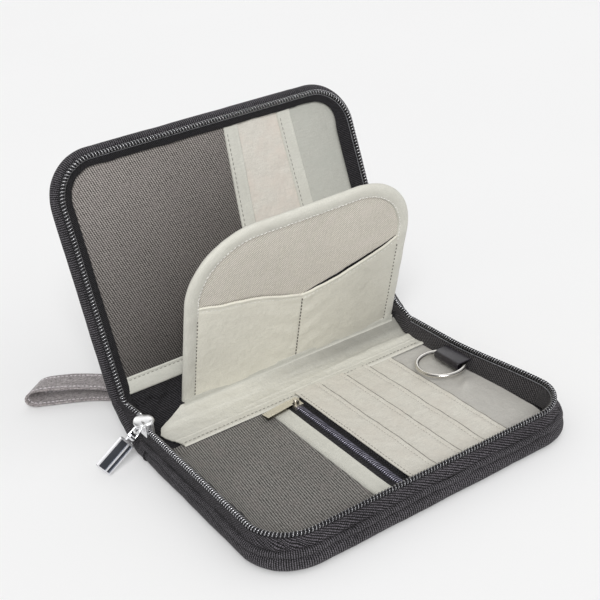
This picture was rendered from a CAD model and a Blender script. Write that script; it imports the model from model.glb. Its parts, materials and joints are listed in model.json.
"""An open zip-round organiser on a studio floor.

x runs along the folds (left is -x), y from the front edge back to the lid, z up.
The base leaf lies flat with its middle at y = 0. Behind it come the tilted spine,
which carries the centre page, and the lid, tilted twice as much as the spine.
Lengths are millimetres; meshes are turned into metres when they are made.
"""
import json
from math import atan2, cos, pi, radians, sin

import bmesh
import bpy
import numpy as np
from mathutils import Matrix, Vector


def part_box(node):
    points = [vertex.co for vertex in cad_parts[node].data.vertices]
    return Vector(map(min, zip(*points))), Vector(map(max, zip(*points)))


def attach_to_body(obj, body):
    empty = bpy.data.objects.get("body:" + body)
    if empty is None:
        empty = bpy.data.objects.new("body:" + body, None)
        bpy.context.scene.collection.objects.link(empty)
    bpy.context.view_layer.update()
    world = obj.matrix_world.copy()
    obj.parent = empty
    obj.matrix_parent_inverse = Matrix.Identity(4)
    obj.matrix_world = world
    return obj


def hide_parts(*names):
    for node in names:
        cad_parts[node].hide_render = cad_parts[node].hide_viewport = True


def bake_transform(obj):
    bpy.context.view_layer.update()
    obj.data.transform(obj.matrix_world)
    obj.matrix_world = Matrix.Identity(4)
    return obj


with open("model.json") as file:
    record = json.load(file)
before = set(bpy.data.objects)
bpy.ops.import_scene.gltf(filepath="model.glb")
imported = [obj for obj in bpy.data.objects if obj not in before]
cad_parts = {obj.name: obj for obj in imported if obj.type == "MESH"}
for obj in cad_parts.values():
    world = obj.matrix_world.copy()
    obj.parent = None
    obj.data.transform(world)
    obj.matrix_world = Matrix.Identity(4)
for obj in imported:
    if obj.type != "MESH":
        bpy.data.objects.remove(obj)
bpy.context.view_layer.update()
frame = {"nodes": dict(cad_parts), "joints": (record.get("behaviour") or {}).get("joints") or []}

SCENE = bpy.context.scene
JOINTS = {joint["name"]: joint for joint in frame["joints"]}
X_AXIS = np.array([1.0, 0.0, 0.0])
Y_AXIS = np.array([0.0, 1.0, 0.0])
Z_AXIS = np.array([0.0, 0.0, 1.0])


# ---------------------------------------------------------------- reading the frame
def mm(metres):
    return np.array(metres, float) * 1000.0


def to_metres(point):
    return tuple(float(value) / 1000.0 for value in point)


def joint_at(name):
    return mm(JOINTS[name]["pos_m"])


def box(node):
    """Low and high corners of a CAD piece."""
    low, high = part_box(node)
    return mm(low), mm(high)


def node_points(node):
    return mm([vertex.co for vertex in frame["nodes"][node].data.vertices])


def distance_up(cloud, origin, tilt):
    """Distance of points from origin, measured up a plane tilted about x."""
    offset = cloud[:, 1:] - origin[1:]
    return offset[:, 0] * cos(tilt) + offset[:, 1] * sin(tilt)


def tilt_of(node, origin):
    """Tilt of the line from origin to the far edge of a CAD piece."""
    offset = node_points(node)[:, 1:] - origin[1:]
    distance = np.linalg.norm(offset, axis=1)
    edge = offset[distance > distance.max() - 2.0].mean(0)
    return atan2(edge[1], edge[0])


# ---------------------------------------------------------------- driving dimensions
BASE_FOLD_AT = joint_at("spine_fold")
LID_FOLD_AT = joint_at("lid_fold")
PAGE_FOOT_AT = joint_at("page_turn")
FOLD_Y, FOLD_Z = BASE_FOLD_AT[1], BASE_FOLD_AT[2]
SPINE_TILT = atan2(LID_FOLD_AT[2] - FOLD_Z, LID_FOLD_AT[1] - FOLD_Y)
SPINE_W = float(np.linalg.norm(LID_FOLD_AT - BASE_FOLD_AT))
SPINE_MID = SPINE_W / 2
LID_TILT = 2 * SPINE_TILT
LID_ORIGIN = LID_FOLD_AT - np.array([0.0, -sin(LID_TILT), cos(LID_TILT)]) * FOLD_Z
PAGE_TILT = tilt_of("page_board", PAGE_FOOT_AT)

ROLL_LOW, ROLL_HIGH = box("base_edge_roll")
HALF_W = ROLL_HIGH[0]
DEPTH = FOLD_Y - ROLL_LOW[1]            # fold line to the far edge of a leaf
ROLL_BACK = FOLD_Y - ROLL_HIGH[1]       # the rolls stop this far from the fold line
CORNER = 30.0                           # outline radius of the leaf corners
CORNER_X = HALF_W - CORNER
SIDE_RUN = DEPTH - CORNER - ROLL_BACK   # straight side of a roll
CORNER_MID = SIDE_RUN + pi / 4 * CORNER

COIL_LOW, COIL_HIGH = box("base_zip_coil")
BASE_COIL_Z = (COIL_LOW[2] + COIL_HIGH[2]) / 2
LID_COIL_Z = 10.4
COIL_INSET = HALF_W - (COIL_HIGH[0] - 1.1)
TAPE_INSET = 6.4
SINK = 3.6                              # the right wall has sunk this far at the fold


# ---------------------------------------------------------------- local coordinates
def points(x, y, z):
    arrays = (np.asarray(value, float) for value in (x, y, z))
    return np.stack(np.broadcast_arrays(*arrays), -1)


def turned(origin, tilt, x, y, z):
    c, s = cos(tilt), sin(tilt)
    y = np.asarray(y, float)
    z = np.asarray(z, float)
    return points(x, origin[1] + c * y - s * z, origin[2] + s * y + c * z)


# Each place turns a part's own x, y (away from its hinge) and z (off its surface)
# into a point of the scene; `points` does the same for plain scene coordinates.
def base_leaf(x, y, z):
    return points(x, FOLD_Y - np.asarray(y, float), z)


def spine(x, y, z):
    return turned(BASE_FOLD_AT, SPINE_TILT, x, y, z)


def page(x, y, z):
    return turned(PAGE_FOOT_AT, PAGE_TILT, x, y, z)


def lid(x, y, z):
    return turned(LID_ORIGIN, LID_TILT, x, y, z)


def up_from(place):
    return place(0, 0, 1.0) - place(0, 0, 0)


def fold_section(*stations):
    """(y, z) points of a section, from stations (place, y, z)."""
    return [place(0.0, y, z)[1:] for place, y, z in stations]


# Bodies a folding cloth blends between, with where the blend starts and ends.
BASE_FOLD = ("base", "spine", to_metres((0, FOLD_Y - 5.5, FOLD_Z)), to_metres(spine(0, 8.5, 0)))
LID_FOLD = ("spine", "lid", to_metres(spine(0, SPINE_W - 8.5, 0)), to_metres(lid(0, 5.5, FOLD_Z)))
PAGE_FOLD = ("spine", "page", to_metres(page(0, 0.5, 0)), to_metres(page(0, 9.0, 0)))


# ---------------------------------------------------------------- shaping functions
def wobble(value, seed, scale):
    """Smooth noise along a line, about -1 to 1; scale is its length in mm."""
    rng = np.random.RandomState(seed)
    value = np.asarray(value, float)
    total, size, weight = np.zeros_like(value), 1.0, 0.0
    for octave in range(3):
        for _ in range(3):
            rate = (2 ** octave) * (0.6 + 0.8 * rng.rand()) / scale
            total = total + size * np.sin(2 * pi * (rate * value + rng.rand()))
            weight += size
        size *= 0.5
    return total / weight * 1.7


def ripple(x, y, seed, scale):
    """Smooth noise over a surface, about -1 to 1; scale is its length in mm."""
    rng = np.random.RandomState(seed)
    x, y = np.broadcast_arrays(np.asarray(x, float), np.asarray(y, float))
    total, size, weight = np.zeros(x.shape), 1.0, 0.0
    for octave in range(3):
        for _ in range(4):
            angle = rng.rand() * 2 * pi
            rate = (2 ** octave) * (0.6 + 0.8 * rng.rand()) / scale
            wave = rate * (x * cos(angle) + y * sin(angle)) + rng.rand()
            total = total + size * np.sin(2 * pi * wave)
            weight += size
        size *= 0.5
    return total / weight * 1.8


def ease(value):
    """0 at 0, 1 from 1 on, smooth."""
    value = np.clip(value, 0, 1)
    return value * value * (3 - 2 * value)


def bell(value, centre, width, power=2):
    """1 at the centre, falling off smoothly over the width."""
    return np.exp(-((value - centre) / width) ** power)


def arch(value):
    """Half a sine wave over 0..1, flat outside."""
    return np.sin(np.clip(value, 0, 1) * pi)


def mix(first, second, share):
    return first * (1 - share) + second * share


def corner_reach(x, start, radius):
    """Distance of a round-cornered edge from the line of its corner centres."""
    return np.sqrt(radius ** 2 - np.clip(np.abs(x) - start, 0, radius) ** 2)


def spread(start, end, count, edge=0.6):
    """Even steps from start to end, plus close rows inside each end."""
    steps = np.linspace(start, end, count + 1)
    return np.concatenate([[start, start + edge * 0.35, start + edge], steps[1:-1],
                           [end - edge, end - edge * 0.35, end]])


def columns(low, high, margin, side_count, gap, middle_count, edge=0.6):
    """Fine columns in the margins at both ends and coarser ones between."""
    return np.concatenate([
        spread(low, low + margin, side_count, edge),
        np.linspace(low + margin + gap, high - margin - gap, middle_count),
        spread(high - margin, high, side_count, edge)])


def tape_columns(low, high, count):
    """Columns of a narrow tape, close together at its rolled edges."""
    near = np.array([0, 0.15, 0.4, 0.7, 1.1])
    return np.concatenate([low + near, np.linspace(low + 1.8, high - 1.8, count),
                           high - near[::-1]])


def unit(vectors):
    return vectors / np.linalg.norm(vectors, axis=-1, keepdims=True)


def around(count):
    return np.linspace(0, 2 * pi, count, endpoint=False)


def distances(line):
    return np.concatenate([[0], np.cumsum(np.linalg.norm(np.diff(line, axis=0), axis=1))])


def follow(at, run, values):
    """Rows of values at the distances `at`, given their own distances `run`."""
    return np.stack([np.interp(at, run, column) for column in values.T], -1)


def resample(line, count):
    line = np.asarray(line, float)
    run = distances(line)
    even = np.linspace(0, run[-1], count)
    return follow(even, run, line), even


def smooth_line(corners, count):
    """Round off a polyline; returns even points, distances and left-hand normals."""
    line = np.array(corners, float)
    for _ in range(3):
        cut = [line[0]]
        for a, b in zip(line[:-1], line[1:]):
            cut += [a * 0.75 + b * 0.25, a * 0.25 + b * 0.75]
        cut.append(line[-1])
        line = np.array(cut)
    line, run = resample(line, count)
    tangent = unit(np.gradient(line, axis=0))
    return line, run, np.stack([-tangent[:, 1], tangent[:, 0]], -1)


def cord(path, side, up, wide, tall, count=8):
    """Rings of an oval cord along a path; wide and tall are half sizes."""
    angle = around(count)[None, :, None]
    side, up = (np.broadcast_to(axis, path.shape)[:, None] for axis in (side, up))
    wide, tall = np.reshape(wide, (-1, 1, 1)), np.reshape(tall, (-1, 1, 1))
    return path[:, None] + wide * np.cos(angle) * side + tall * np.sin(angle) * up


def perimeter(wide, tall):
    """Running distance around a closed section, back to its start."""
    steps = np.hypot(np.diff(np.r_[wide, wide[0]]), np.diff(np.r_[tall, tall[0]]))
    return np.r_[0, np.cumsum(steps)]


# ---------------------------------------------------------------- meshes
def make(name, verts, quads, loop_uv, material, caps=(), sharp=50):
    """A mesh object in mm; sharp is the angle from which edges stay hard."""
    mesh = bpy.data.meshes.new(name)
    mesh.from_pydata((verts / 1000.0).tolist(), [], quads.tolist() + list(caps))
    uv = mesh.uv_layers.new(name="uv")
    cap_uv = np.zeros((sum(len(cap) for cap in caps), 2))
    flat = np.concatenate([loop_uv.reshape(-1, 2), cap_uv]).astype(np.float32)
    uv.data.foreach_set("uv", flat.ravel())
    bm = bmesh.new()
    bm.from_mesh(mesh)
    bmesh.ops.recalc_face_normals(bm, faces=bm.faces)
    bm.to_mesh(mesh)
    bm.free()
    mesh.shade_smooth()
    mesh.set_sharp_from_angle(angle=radians(sharp))
    ob = bpy.data.objects.new(name, mesh)
    SCENE.collection.objects.link(ob)
    mesh.materials.append(material)
    return ob


def attach(ob, motion, *nodes, slot=None):
    """Tell the frame what a piece moves with, which CAD pieces it stands for and
    its colour slot. motion is a body, or a blend such as BASE_FOLD."""
    if isinstance(motion, str):
        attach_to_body(ob, motion)
    else:
        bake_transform(ob)
    if nodes:
        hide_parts(*nodes)


def grid_faces(rows, cols, offset=0, wrap=False):
    i = np.arange(rows - 1)[:, None]
    j = np.arange(cols if wrap else cols - 1)[None, :]
    k = (j + 1) % cols
    corners = (i * cols + j, (i + 1) * cols + j, (i + 1) * cols + k, i * cols + k)
    return np.stack(np.broadcast_arrays(*corners), -1).reshape(-1, 4) + offset


def point_uv(row_uv, col_uv):
    """UV at each grid point; each input is one value per row or column, or a grid."""
    row_uv, col_uv = np.asarray(row_uv, float), np.asarray(col_uv, float)
    if row_uv.ndim == 1:
        row_uv = np.repeat(row_uv[:, None], col_uv.shape[-1], 1)
    if col_uv.ndim == 1:
        col_uv = np.repeat(col_uv[None, :], row_uv.shape[0], 0)
    return np.stack([row_uv, col_uv], -1)


def face_uv(uv):
    return np.stack([uv[:-1, :-1], uv[1:, :-1], uv[1:, 1:], uv[:-1, 1:]], 2).reshape(-1, 4, 2)


def tube(name, rings, row_uv, col_uv, material, sharp=60):
    """Closed rings (rows, cols, 3) capped at both ends; col_uv has cols + 1 values."""
    rows, cols = rings.shape[:2]
    caps = [list(range(cols)), list(range((rows - 1) * cols, rows * cols))[::-1]]
    return make(name, rings.reshape(-1, 3), grid_faces(rows, cols, wrap=True),
                face_uv(point_uv(row_uv, col_uv)), material, caps, sharp)


def shell(name, top, bottom, row_uv, col_uv, material, sharp=50):
    """Closed shell between two grids of the same size."""
    rows, cols = top.shape[:2]
    count = rows * cols
    uv = point_uv(row_uv, col_uv)
    top_uv = face_uv(uv)
    index = np.arange(count).reshape(rows, cols)
    rim = np.concatenate([index[:, 0], index[-1, 1:], index[-2::-1, -1], index[0, -2:0:-1]])
    rim_next = np.roll(rim, -1)
    side = np.stack([rim, rim_next, rim_next + count, rim + count], -1)
    uv = uv.reshape(-1, 2)
    side_uv = np.stack([uv[rim], uv[rim_next], uv[rim_next] + 0.8, uv[rim] + 0.8], 1)
    faces = [grid_faces(rows, cols), grid_faces(rows, cols, count)[:, ::-1], side]
    return make(name, np.concatenate([top.reshape(-1, 3), bottom.reshape(-1, 3)]),
                np.concatenate(faces), np.concatenate([top_uv, top_uv[:, ::-1], side_uv]),
                material, sharp=sharp)


class Threads:
    """Many small sewn threads or cords in one mesh."""
    # Profile of one stitch: place along it, thickness and height, as shares.
    ALONG = np.array([-1, -0.86, -0.45, 0, 0.45, 0.86, 1.0])
    THICK = np.array([0.02, 0.6, 0.95, 1.0, 0.95, 0.6, 0.02])
    HEIGHT = np.array([-0.9, -0.4, 0.15, 0.3, 0.15, -0.4, -0.9])

    def __init__(self):
        self.verts, self.quads, self.uvs, self.count = [], [], [], 0

    def rings(self, rings):
        rows, cols = rings.shape[:2]
        self.quads.append(grid_faces(rows, cols, self.count, wrap=True))
        self.uvs.append(face_uv(point_uv(np.linspace(0, 1, rows), np.linspace(0, 1, cols + 1))))
        self.verts.append(rings.reshape(-1, 3))
        self.count += rows * cols

    def stitches(self, line, normal, pitch, length, radius, rise, zig=0.0):
        """A row of stitches along a line; the normal points off the cloth and
        zig turns the stitches alternately to either side."""
        run = distances(line)
        normals = np.broadcast_to(np.asarray(normal, float), line.shape)
        for k in range(int((run[-1] - 0.5) / pitch)):
            spots = (k + 0.5) * pitch + self.ALONG * length / 2
            path = follow(spots, run, line)
            up = unit(follow(spots, run, normals)[3])
            side = np.cross(unit(path[-1] - path[0]), up)
            path = path + side * (zig * (1 if k % 2 else -1) * self.ALONG)[:, None]
            path = path + up * (rise + self.HEIGHT * radius)[:, None]
            thick = self.THICK * radius
            self.rings(cord(path, side, up, thick, 0.8 * thick, 6))

    def finish(self, name, material, motion):
        attach(make(name, np.concatenate(self.verts), np.concatenate(self.quads),
                    np.concatenate(self.uvs), material, sharp=80), motion)


def coil(name, frame_at, length, out_radius, up_radius, material, wire=0.38, pitch=1.95,
         per_turn=14):
    """A wire spiral; frame_at gives the centre, out and up at distances along it."""
    run = np.linspace(0, length, int(length / pitch * per_turn) + 1)
    turn = (2 * pi * run / pitch)[:, None]
    centre, out, up = frame_at(run)
    path = centre + out * (out_radius * np.cos(turn)) + up * (up_radius * np.sin(turn))
    tangent = unit(np.gradient(path, axis=0))
    normal = out * np.cos(turn) + up * np.sin(turn)
    normal = unit(normal - tangent * np.sum(normal * tangent, 1)[:, None])
    rings = cord(path, normal, np.cross(tangent, normal), wire, wire, 6)
    return tube(name, rings, run, np.linspace(0, 2 * pi * wire, 7), material, sharp=80)


# ---------------------------------------------------------------- edge rails
class Rail:
    """Three sides of a leaf with two round corners: up the left side from the
    hinge, along the far edge and down the right side."""

    def __init__(self, half, depth, corner, centre=0.0):
        self.half, self.depth, self.corner, self.centre = half, depth, corner, centre

    def length(self, back, inset=0.0):
        """back: distance of both ends from the hinge; inset shortens the corners."""
        return (2 * (self.depth - self.corner - back) + pi * (self.corner - inset)
                + 2 * (self.half - self.corner))

    def at(self, run, back, inset=0.0):
        """x, y and outward direction x, y of the outline at distances run."""
        arc = pi / 2 * (self.corner - inset)
        centre_x, centre_y = self.half - self.corner, self.depth - self.corner
        side_end = centre_y - back
        far_start = side_end + arc
        far_end = far_start + 2 * centre_x
        turn = np.clip((run - side_end) / arc, 0, 1) + np.clip((run - far_end) / arc, 0, 1)
        out_x, out_y = -np.cos(turn * pi / 2), np.sin(turn * pi / 2)
        x = out_x * self.corner - centre_x + np.clip(run - far_start, 0, 2 * centre_x)
        y = (centre_y + out_y * self.corner - np.maximum(side_end - run, 0)
             - np.maximum(run - far_end - arc, 0))
        return x + self.centre, y, out_x, out_y

    def sample(self, step, back):
        total = self.length(back)
        run = np.linspace(0, total, int(round(total / step)) + 1)
        return run, self.at(run, back)


LEAF = Rail(HALF_W, DEPTH, CORNER)
LEAF_RUN = LEAF.length(ROLL_BACK)


def rail_points(place, rail, inset, height):
    """Scene points inset from a rail; grids of insets have one row per rail point."""
    if np.ndim(inset) == 2:
        rail = [part[:, None] for part in rail]
    x, y, out_x, out_y = rail
    return place(x - inset * out_x, y - inset * out_y, height)


def slump(run, total):
    """How far the right wall has sunk: 0 at the corner, 1 at the fold."""
    return ease((run - (total - SIDE_RUN - 12.0)) / (SIDE_RUN * 0.80))


# ---------------------------------------------------------------- materials
def srgb(colour):
    """Linear colour from 8-bit values."""
    def linear(value):
        value /= 255.0
        return value / 12.92 if value <= 0.04045 else ((value + 0.055) / 1.055) ** 2.4
    return tuple(linear(value) for value in colour)


def is_socket(value):
    return isinstance(value, bpy.types.NodeSocket)


class Shader:
    """A material with one Principled shader; its methods add nodes."""

    def __init__(self, name, rough, metal=0.0, sheen=0.0, spec=0.4):
        self.material = bpy.data.materials.new(name)
        self.material.use_nodes = True
        self.tree = self.material.node_tree
        self.tree.nodes.clear()
        out = self.new("ShaderNodeOutputMaterial")
        self.principled = self.new("ShaderNodeBsdfPrincipled")
        self.tree.links.new(self.principled.outputs[0], out.inputs[0])
        self.set("Roughness", rough)
        self.set("Metallic", metal)
        self.set("Specular IOR Level", spec)
        if sheen:
            self.set("Sheen Weight", sheen)
            self.set("Sheen Roughness", 0.5)
        coords = self.new("ShaderNodeTexCoord")
        self.uv, self.object = coords.outputs["UV"], coords.outputs["Object"]

    def new(self, kind, **props):
        node = self.tree.nodes.new(kind)
        for key, value in props.items():
            setattr(node, key, value)
        return node

    def plug(self, socket, value):
        if is_socket(value):
            self.tree.links.new(value, socket)
        else:
            socket.default_value = value

    def set(self, key, value):
        self.plug(self.principled.inputs[key], value)

    def math(self, operation, *values, clamp=False):
        node = self.new("ShaderNodeMath", operation=operation, use_clamp=clamp)
        for socket, value in zip(node.inputs, values):
            self.plug(socket, value)
        return node.outputs[0]

    def add(self, first, second, clamp=False):
        return self.math("ADD", first, second, clamp=clamp)

    def times(self, first, second):
        return self.math("MULTIPLY", first, second)

    def minus(self, first, second):
        return self.math("SUBTRACT", first, second)

    def dot(self, vector, direction):
        node = self.new("ShaderNodeVectorMath", operation="DOT_PRODUCT")
        self.plug(node.inputs[0], vector)
        node.inputs[1].default_value = direction
        return node.outputs["Value"]

    def fade(self, direction, start, end):
        """0 to 1 between two distances along a direction of the UV map."""
        offset = self.minus(self.dot(self.uv, direction), start)
        return self.math("DIVIDE", offset, end - start, clamp=True)

    def wave(self, angle, pitch, wander=None, amount=0.0):
        """Ribs across the direction `angle` of the UV map, 0..1."""
        rate = 2 * pi / pitch
        value = self.dot(self.uv, (cos(angle) * rate, sin(angle) * rate, 0))
        if wander is not None:
            value = self.add(value, self.times(wander, amount))
        return self.math("MULTIPLY_ADD", self.math("SINE", value), 0.5, 0.5)

    def noise(self, vector, scale, detail=2.0, rough=0.5, stretch=None):
        if stretch is not None:
            mapping = self.new("ShaderNodeMapping")
            self.plug(mapping.inputs["Vector"], vector)
            mapping.inputs["Scale"].default_value = stretch
            vector = mapping.outputs[0]
        node = self.new("ShaderNodeTexNoise")
        self.plug(node.inputs["Vector"], vector)
        node.inputs["Scale"].default_value = scale
        node.inputs["Detail"].default_value = detail
        node.inputs["Roughness"].default_value = rough
        return node.outputs["Fac"]

    def ramp(self, factor, *stops):
        """stops: (position, linear colour)."""
        node = self.new("ShaderNodeValToRGB")
        self.plug(node.inputs[0], factor)
        elements = node.color_ramp.elements
        while len(elements) < len(stops):
            elements.new(0.5)
        for element, (position, colour) in zip(elements, stops):
            element.position = position
            element.color = (*colour, 1)
        return node.outputs["Color"]

    def mix(self, factor, first, second, mode="MIX"):
        node = self.new("ShaderNodeMix", data_type="RGBA", blend_type=mode)
        self.plug(node.inputs[0], factor)
        for socket, value in ((node.inputs[6], first), (node.inputs[7], second)):
            self.plug(socket, value if is_socket(value) else (*value, 1))
        return node.outputs[2]

    def tint(self, colour, other):
        return self.mix(1.0, colour, other, "MULTIPLY")

    def stain(self, colour, factor, start, end, amount, blot):
        """Lay the blot colour over the colour where the factor is high."""
        mask = self.ramp(factor, (start, (0, 0, 0)), (end, (1, 1, 1)))
        split = self.new("ShaderNodeSeparateColor")
        self.plug(split.inputs[0], mask)
        return self.mix(self.times(split.outputs[0], amount), colour, srgb(blot))

    def bump(self, height, distance, strength=1.0):
        node = self.new("ShaderNodeBump")
        node.inputs["Strength"].default_value = strength
        node.inputs["Distance"].default_value = distance / 1000.0
        self.plug(node.inputs["Height"], height)
        self.set("Normal", node.outputs[0])

    def colour(self, value):
        self.set("Base Color", value)


def cloth(name, dark, light, angle, pitch, cross=None, wander=1.8, relief=0.16, sheen=0.15,
          patch=0.25, fine=0.5, spec=0.25, blot=None, grain=0.34, low=0.16, high=0.74,
          skew=68.0, shade=None):
    """Woven cloth: ribs at an angle and pitch, cross threads turned by skew, uneven
    yarn and soft patches. low, high: tones of the dark and light colours.
    shade: (u, v, dark at, light at, factor), darker along one UV direction."""
    rough = 0.85
    m = Shader(name, rough=rough, sheen=sheen, spec=spec)
    drift = m.noise(m.uv, scale=0.35, detail=3.0)
    ribs = m.wave(angle, pitch, drift, wander)
    threads = m.wave(angle + radians(skew), cross or pitch * 0.55, drift, wander * 1.4)
    weave = m.times(ribs, m.add(1 - fine, m.times(threads, fine)))
    fuzz = m.noise(m.uv, scale=1.5, detail=3.0, rough=0.75)
    yarn = m.noise(m.uv, scale=0.55, detail=2.0, rough=0.6)
    tone = m.add(m.times(weave, 1.0 - grain), m.times(m.minus(fuzz, 0.28), grain * 2.2))
    tone = m.add(tone, m.times(m.minus(yarn, 0.5), 0.35), clamp=True)
    colour = m.ramp(tone, (low, srgb(dark)), (high, srgb(light)))
    patches = m.noise(m.uv, scale=0.035, detail=3.0, rough=0.55)
    colour = m.tint(colour, m.ramp(patches, (0.32, (1 - patch,) * 3), (0.68, (1.0,) * 3)))
    if blot is not None:
        colour = m.stain(colour, m.noise(m.uv, scale=0.12), start=0.45, end=0.72,
                         amount=0.35, blot=blot)
    if shade is not None:
        u, v, start, end, factor = shade
        fade = m.fade((u, v, 0), start, end)
        colour = m.tint(colour, m.ramp(fade, (0.0, (factor,) * 3), (1.0, (1.0,) * 3)))
    m.colour(colour)
    m.set("Roughness", m.add(rough - 0.08, m.times(fuzz, 0.16)))
    m.bump(m.add(m.times(weave, 0.8), m.times(fuzz, 0.45)), relief)
    return m.material


def satin(name, dark, light, blot, rough=0.5, crumple=0.45, dusk=None):
    """Fine lining satin: tight weave, grain, soft crumples and uneven tint.
    dusk: (u start, u end, v start, v end, factor), darker towards both ends."""
    m = Shader(name, rough=rough, sheen=0.12, spec=0.35)
    drift = m.noise(m.uv, scale=0.3)
    warp = m.wave(0.0, pitch=0.75, wander=drift, amount=2.0)
    weft = m.wave(pi / 2, pitch=0.6, wander=drift, amount=2.0)
    weave = m.add(m.times(warp, 0.5), m.times(weft, 0.5))
    fuzz = m.noise(m.uv, scale=1.1, detail=4.0, rough=0.75)
    streak = m.noise(m.uv, scale=0.5, detail=3.0, rough=0.6, stretch=(0.35, 1.6, 1))
    tone = m.add(m.times(weave, 0.25), m.times(fuzz, 0.50))
    tone = m.add(tone, m.times(streak, 0.25))
    colour = m.ramp(tone, (0.34, srgb(dark)), (0.64, srgb(light)))
    colour = m.stain(colour, m.noise(m.uv, scale=0.055, detail=3.0, rough=0.6),
                     start=0.42, end=0.66, amount=0.7, blot=blot)
    if dusk is not None:
        fade_u = m.fade((1, 0, 0), dusk[0], dusk[1])
        fade_v = m.fade((0, 1, 0), dusk[2], dusk[3])
        colour = m.mix(m.times(fade_u, fade_v), colour, m.tint(colour, (dusk[4],) * 3))
    m.colour(colour)
    m.set("Roughness", m.add(rough - 0.06, m.times(fuzz, 0.16)))
    fold = m.noise(m.uv, scale=0.16, stretch=(1.0, 0.7, 1))
    crease = m.noise(m.uv, scale=0.42)
    grain = m.times(m.add(weave, m.times(fuzz, 0.8)), 0.06)
    folds = m.times(m.add(m.times(fold, 1.6), m.times(crease, 0.35)), crumple)
    m.bump(m.add(grain, folds), 1.0)
    return m.material


def melange(name, dark, middle, light):
    """Mottled webbing with a square weave."""
    m = Shader(name, rough=0.9, sheen=0.3, spec=0.2)
    drift = m.noise(m.uv, scale=0.4)
    across = m.noise(m.uv, scale=1.0, detail=3.0, rough=0.75, stretch=(0.3, 1.5, 1))
    along = m.noise(m.uv, scale=1.0, detail=3.0, rough=0.75, stretch=(1.5, 0.3, 1))
    warp = m.wave(0, pitch=0.8, wander=drift, amount=2.0)
    weft = m.wave(pi / 2, pitch=0.8, wander=drift, amount=2.0)
    mottle = m.add(m.times(across, 0.55), m.times(along, 0.45))
    tone = m.add(m.times(m.times(warp, weft), 0.30), m.minus(mottle, 0.08))
    m.colour(m.ramp(tone, (0.36, srgb(dark)), (0.50, srgb(middle)), (0.63, srgb(light))))
    m.bump(m.add(m.times(warp, 0.4), m.times(weft, 0.4)), 0.18)
    return m.material


def thread(name, dark, light):
    m = Shader(name, rough=0.6, sheen=0.2, spec=0.3)
    grain = m.noise(m.object, scale=900.0)
    m.colour(m.ramp(grain, (0.35, srgb(dark)), (0.65, srgb(light))))
    m.bump(m.wave(radians(50), pitch=0.12), 0.04)
    return m.material


def metal(name, dark, light, rough):
    """Polished metal with fine scratches; colours are linear."""
    m = Shader(name, rough=rough, metal=1.0, spec=0.5)
    cloud = m.noise(m.object, scale=60.0, detail=3.0, rough=0.6)
    m.colour(m.ramp(cloud, (0.3, dark), (0.7, light)))
    scratches = m.noise(m.object, scale=1.0, rough=0.6, stretch=(400, 2600, 400))
    m.set("Roughness", m.add(rough, m.times(m.add(cloud, scratches), 0.10)))
    m.bump(scratches, 0.02)
    return m.material


def rimmed_metal(name, flat, rim, rough):
    """Polished metal whose upright faces are tarnished dark."""
    m = Shader(name, rough=rough, metal=1.0, spec=0.5)
    geometry = m.new("ShaderNodeNewGeometry")
    facing = m.math("ABSOLUTE", m.dot(geometry.outputs["Normal"], (0.0, 0.0, 1.0)))
    cloud = m.noise(m.object, scale=260.0, detail=3.0, rough=0.6)
    facing = m.add(facing, m.times(m.minus(cloud, 0.5), 0.25))
    m.colour(m.ramp(facing, (0.55, rim), (0.86, flat)))
    m.bump(cloud, 0.02)
    return m.material


def coil_finish(name, dark, light, metalness, rough, worn=None):
    """worn: (start, end, gain), brighter over the first part of its run."""
    m = Shader(name, rough=rough, metal=metalness, spec=0.6)
    cloud = m.noise(m.object, scale=220.0, detail=3.0, rough=0.6)
    colour = m.ramp(cloud, (0.3, dark), (0.7, light))
    if worn is not None:
        start, end, gain = worn
        fade = m.fade((1, 0, 0), start, end)
        colour = m.mix(fade, m.tint(colour, (gain,) * 3), colour)
    m.colour(colour)
    m.set("Coat Weight", 0.4)
    m.set("Coat Roughness", 0.15)
    m.bump(m.noise(m.object, scale=1500.0), 0.02)
    return m.material


def leather(name, dark, light):
    m = Shader(name, rough=0.38, spec=0.5)
    cells = m.new("ShaderNodeTexVoronoi", feature="DISTANCE_TO_EDGE")
    m.plug(cells.inputs["Vector"], m.uv)
    cells.inputs["Scale"].default_value = 1.3
    cloud = m.noise(m.uv, scale=0.6, detail=3.0)
    m.colour(m.ramp(cloud, (0.3, srgb(dark)), (0.7, srgb(light))))
    m.bump(cells.outputs["Distance"], 0.10, strength=0.6)
    m.set("Coat Weight", 0.25)
    m.set("Coat Roughness", 0.3)
    return m.material


ROLL = cloth("roll_cloth", (3, 3, 4), (118, 114, 120), angle=0.0, pitch=1.30, cross=0.95,
             wander=1.6, relief=0.42, fine=0.60, sheen=0.03, patch=0.32, spec=0.36, skew=72,
             grain=0.50, low=0.33, high=0.66, shade=(1.0, 0.0, 90.0, 140.0, 0.80))
COVER = cloth("cover_cloth", (22, 21, 23), (88, 86, 90), angle=radians(40), pitch=1.3,
              wander=1.6, sheen=0.12, patch=0.2)
GUSSET = cloth("gusset_cloth", (3, 3, 4), (118, 113, 120), angle=radians(62), pitch=1.35,
               cross=1.1, relief=0.40, fine=0.65, sheen=0.03, patch=0.32, spec=0.36,
               grain=0.54, low=0.35, high=0.67, shade=(1.0, 0.0, 90.0, 140.0, 0.58))
BLACK = cloth("black_cloth", (3, 3, 4), (66, 64, 68), angle=radians(32), pitch=1.4,
              wander=2.0, relief=0.26, fine=0.7, sheen=0.03, spec=0.3, grain=0.50,
              low=0.27, high=0.70)
CHARCOAL = cloth("charcoal_cloth", (12, 11, 12), (98, 95, 97), angle=radians(48), pitch=1.45,
                 cross=1.1, relief=0.22, fine=0.6, sheen=0.06, grain=0.46, low=0.22, high=0.72)
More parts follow.
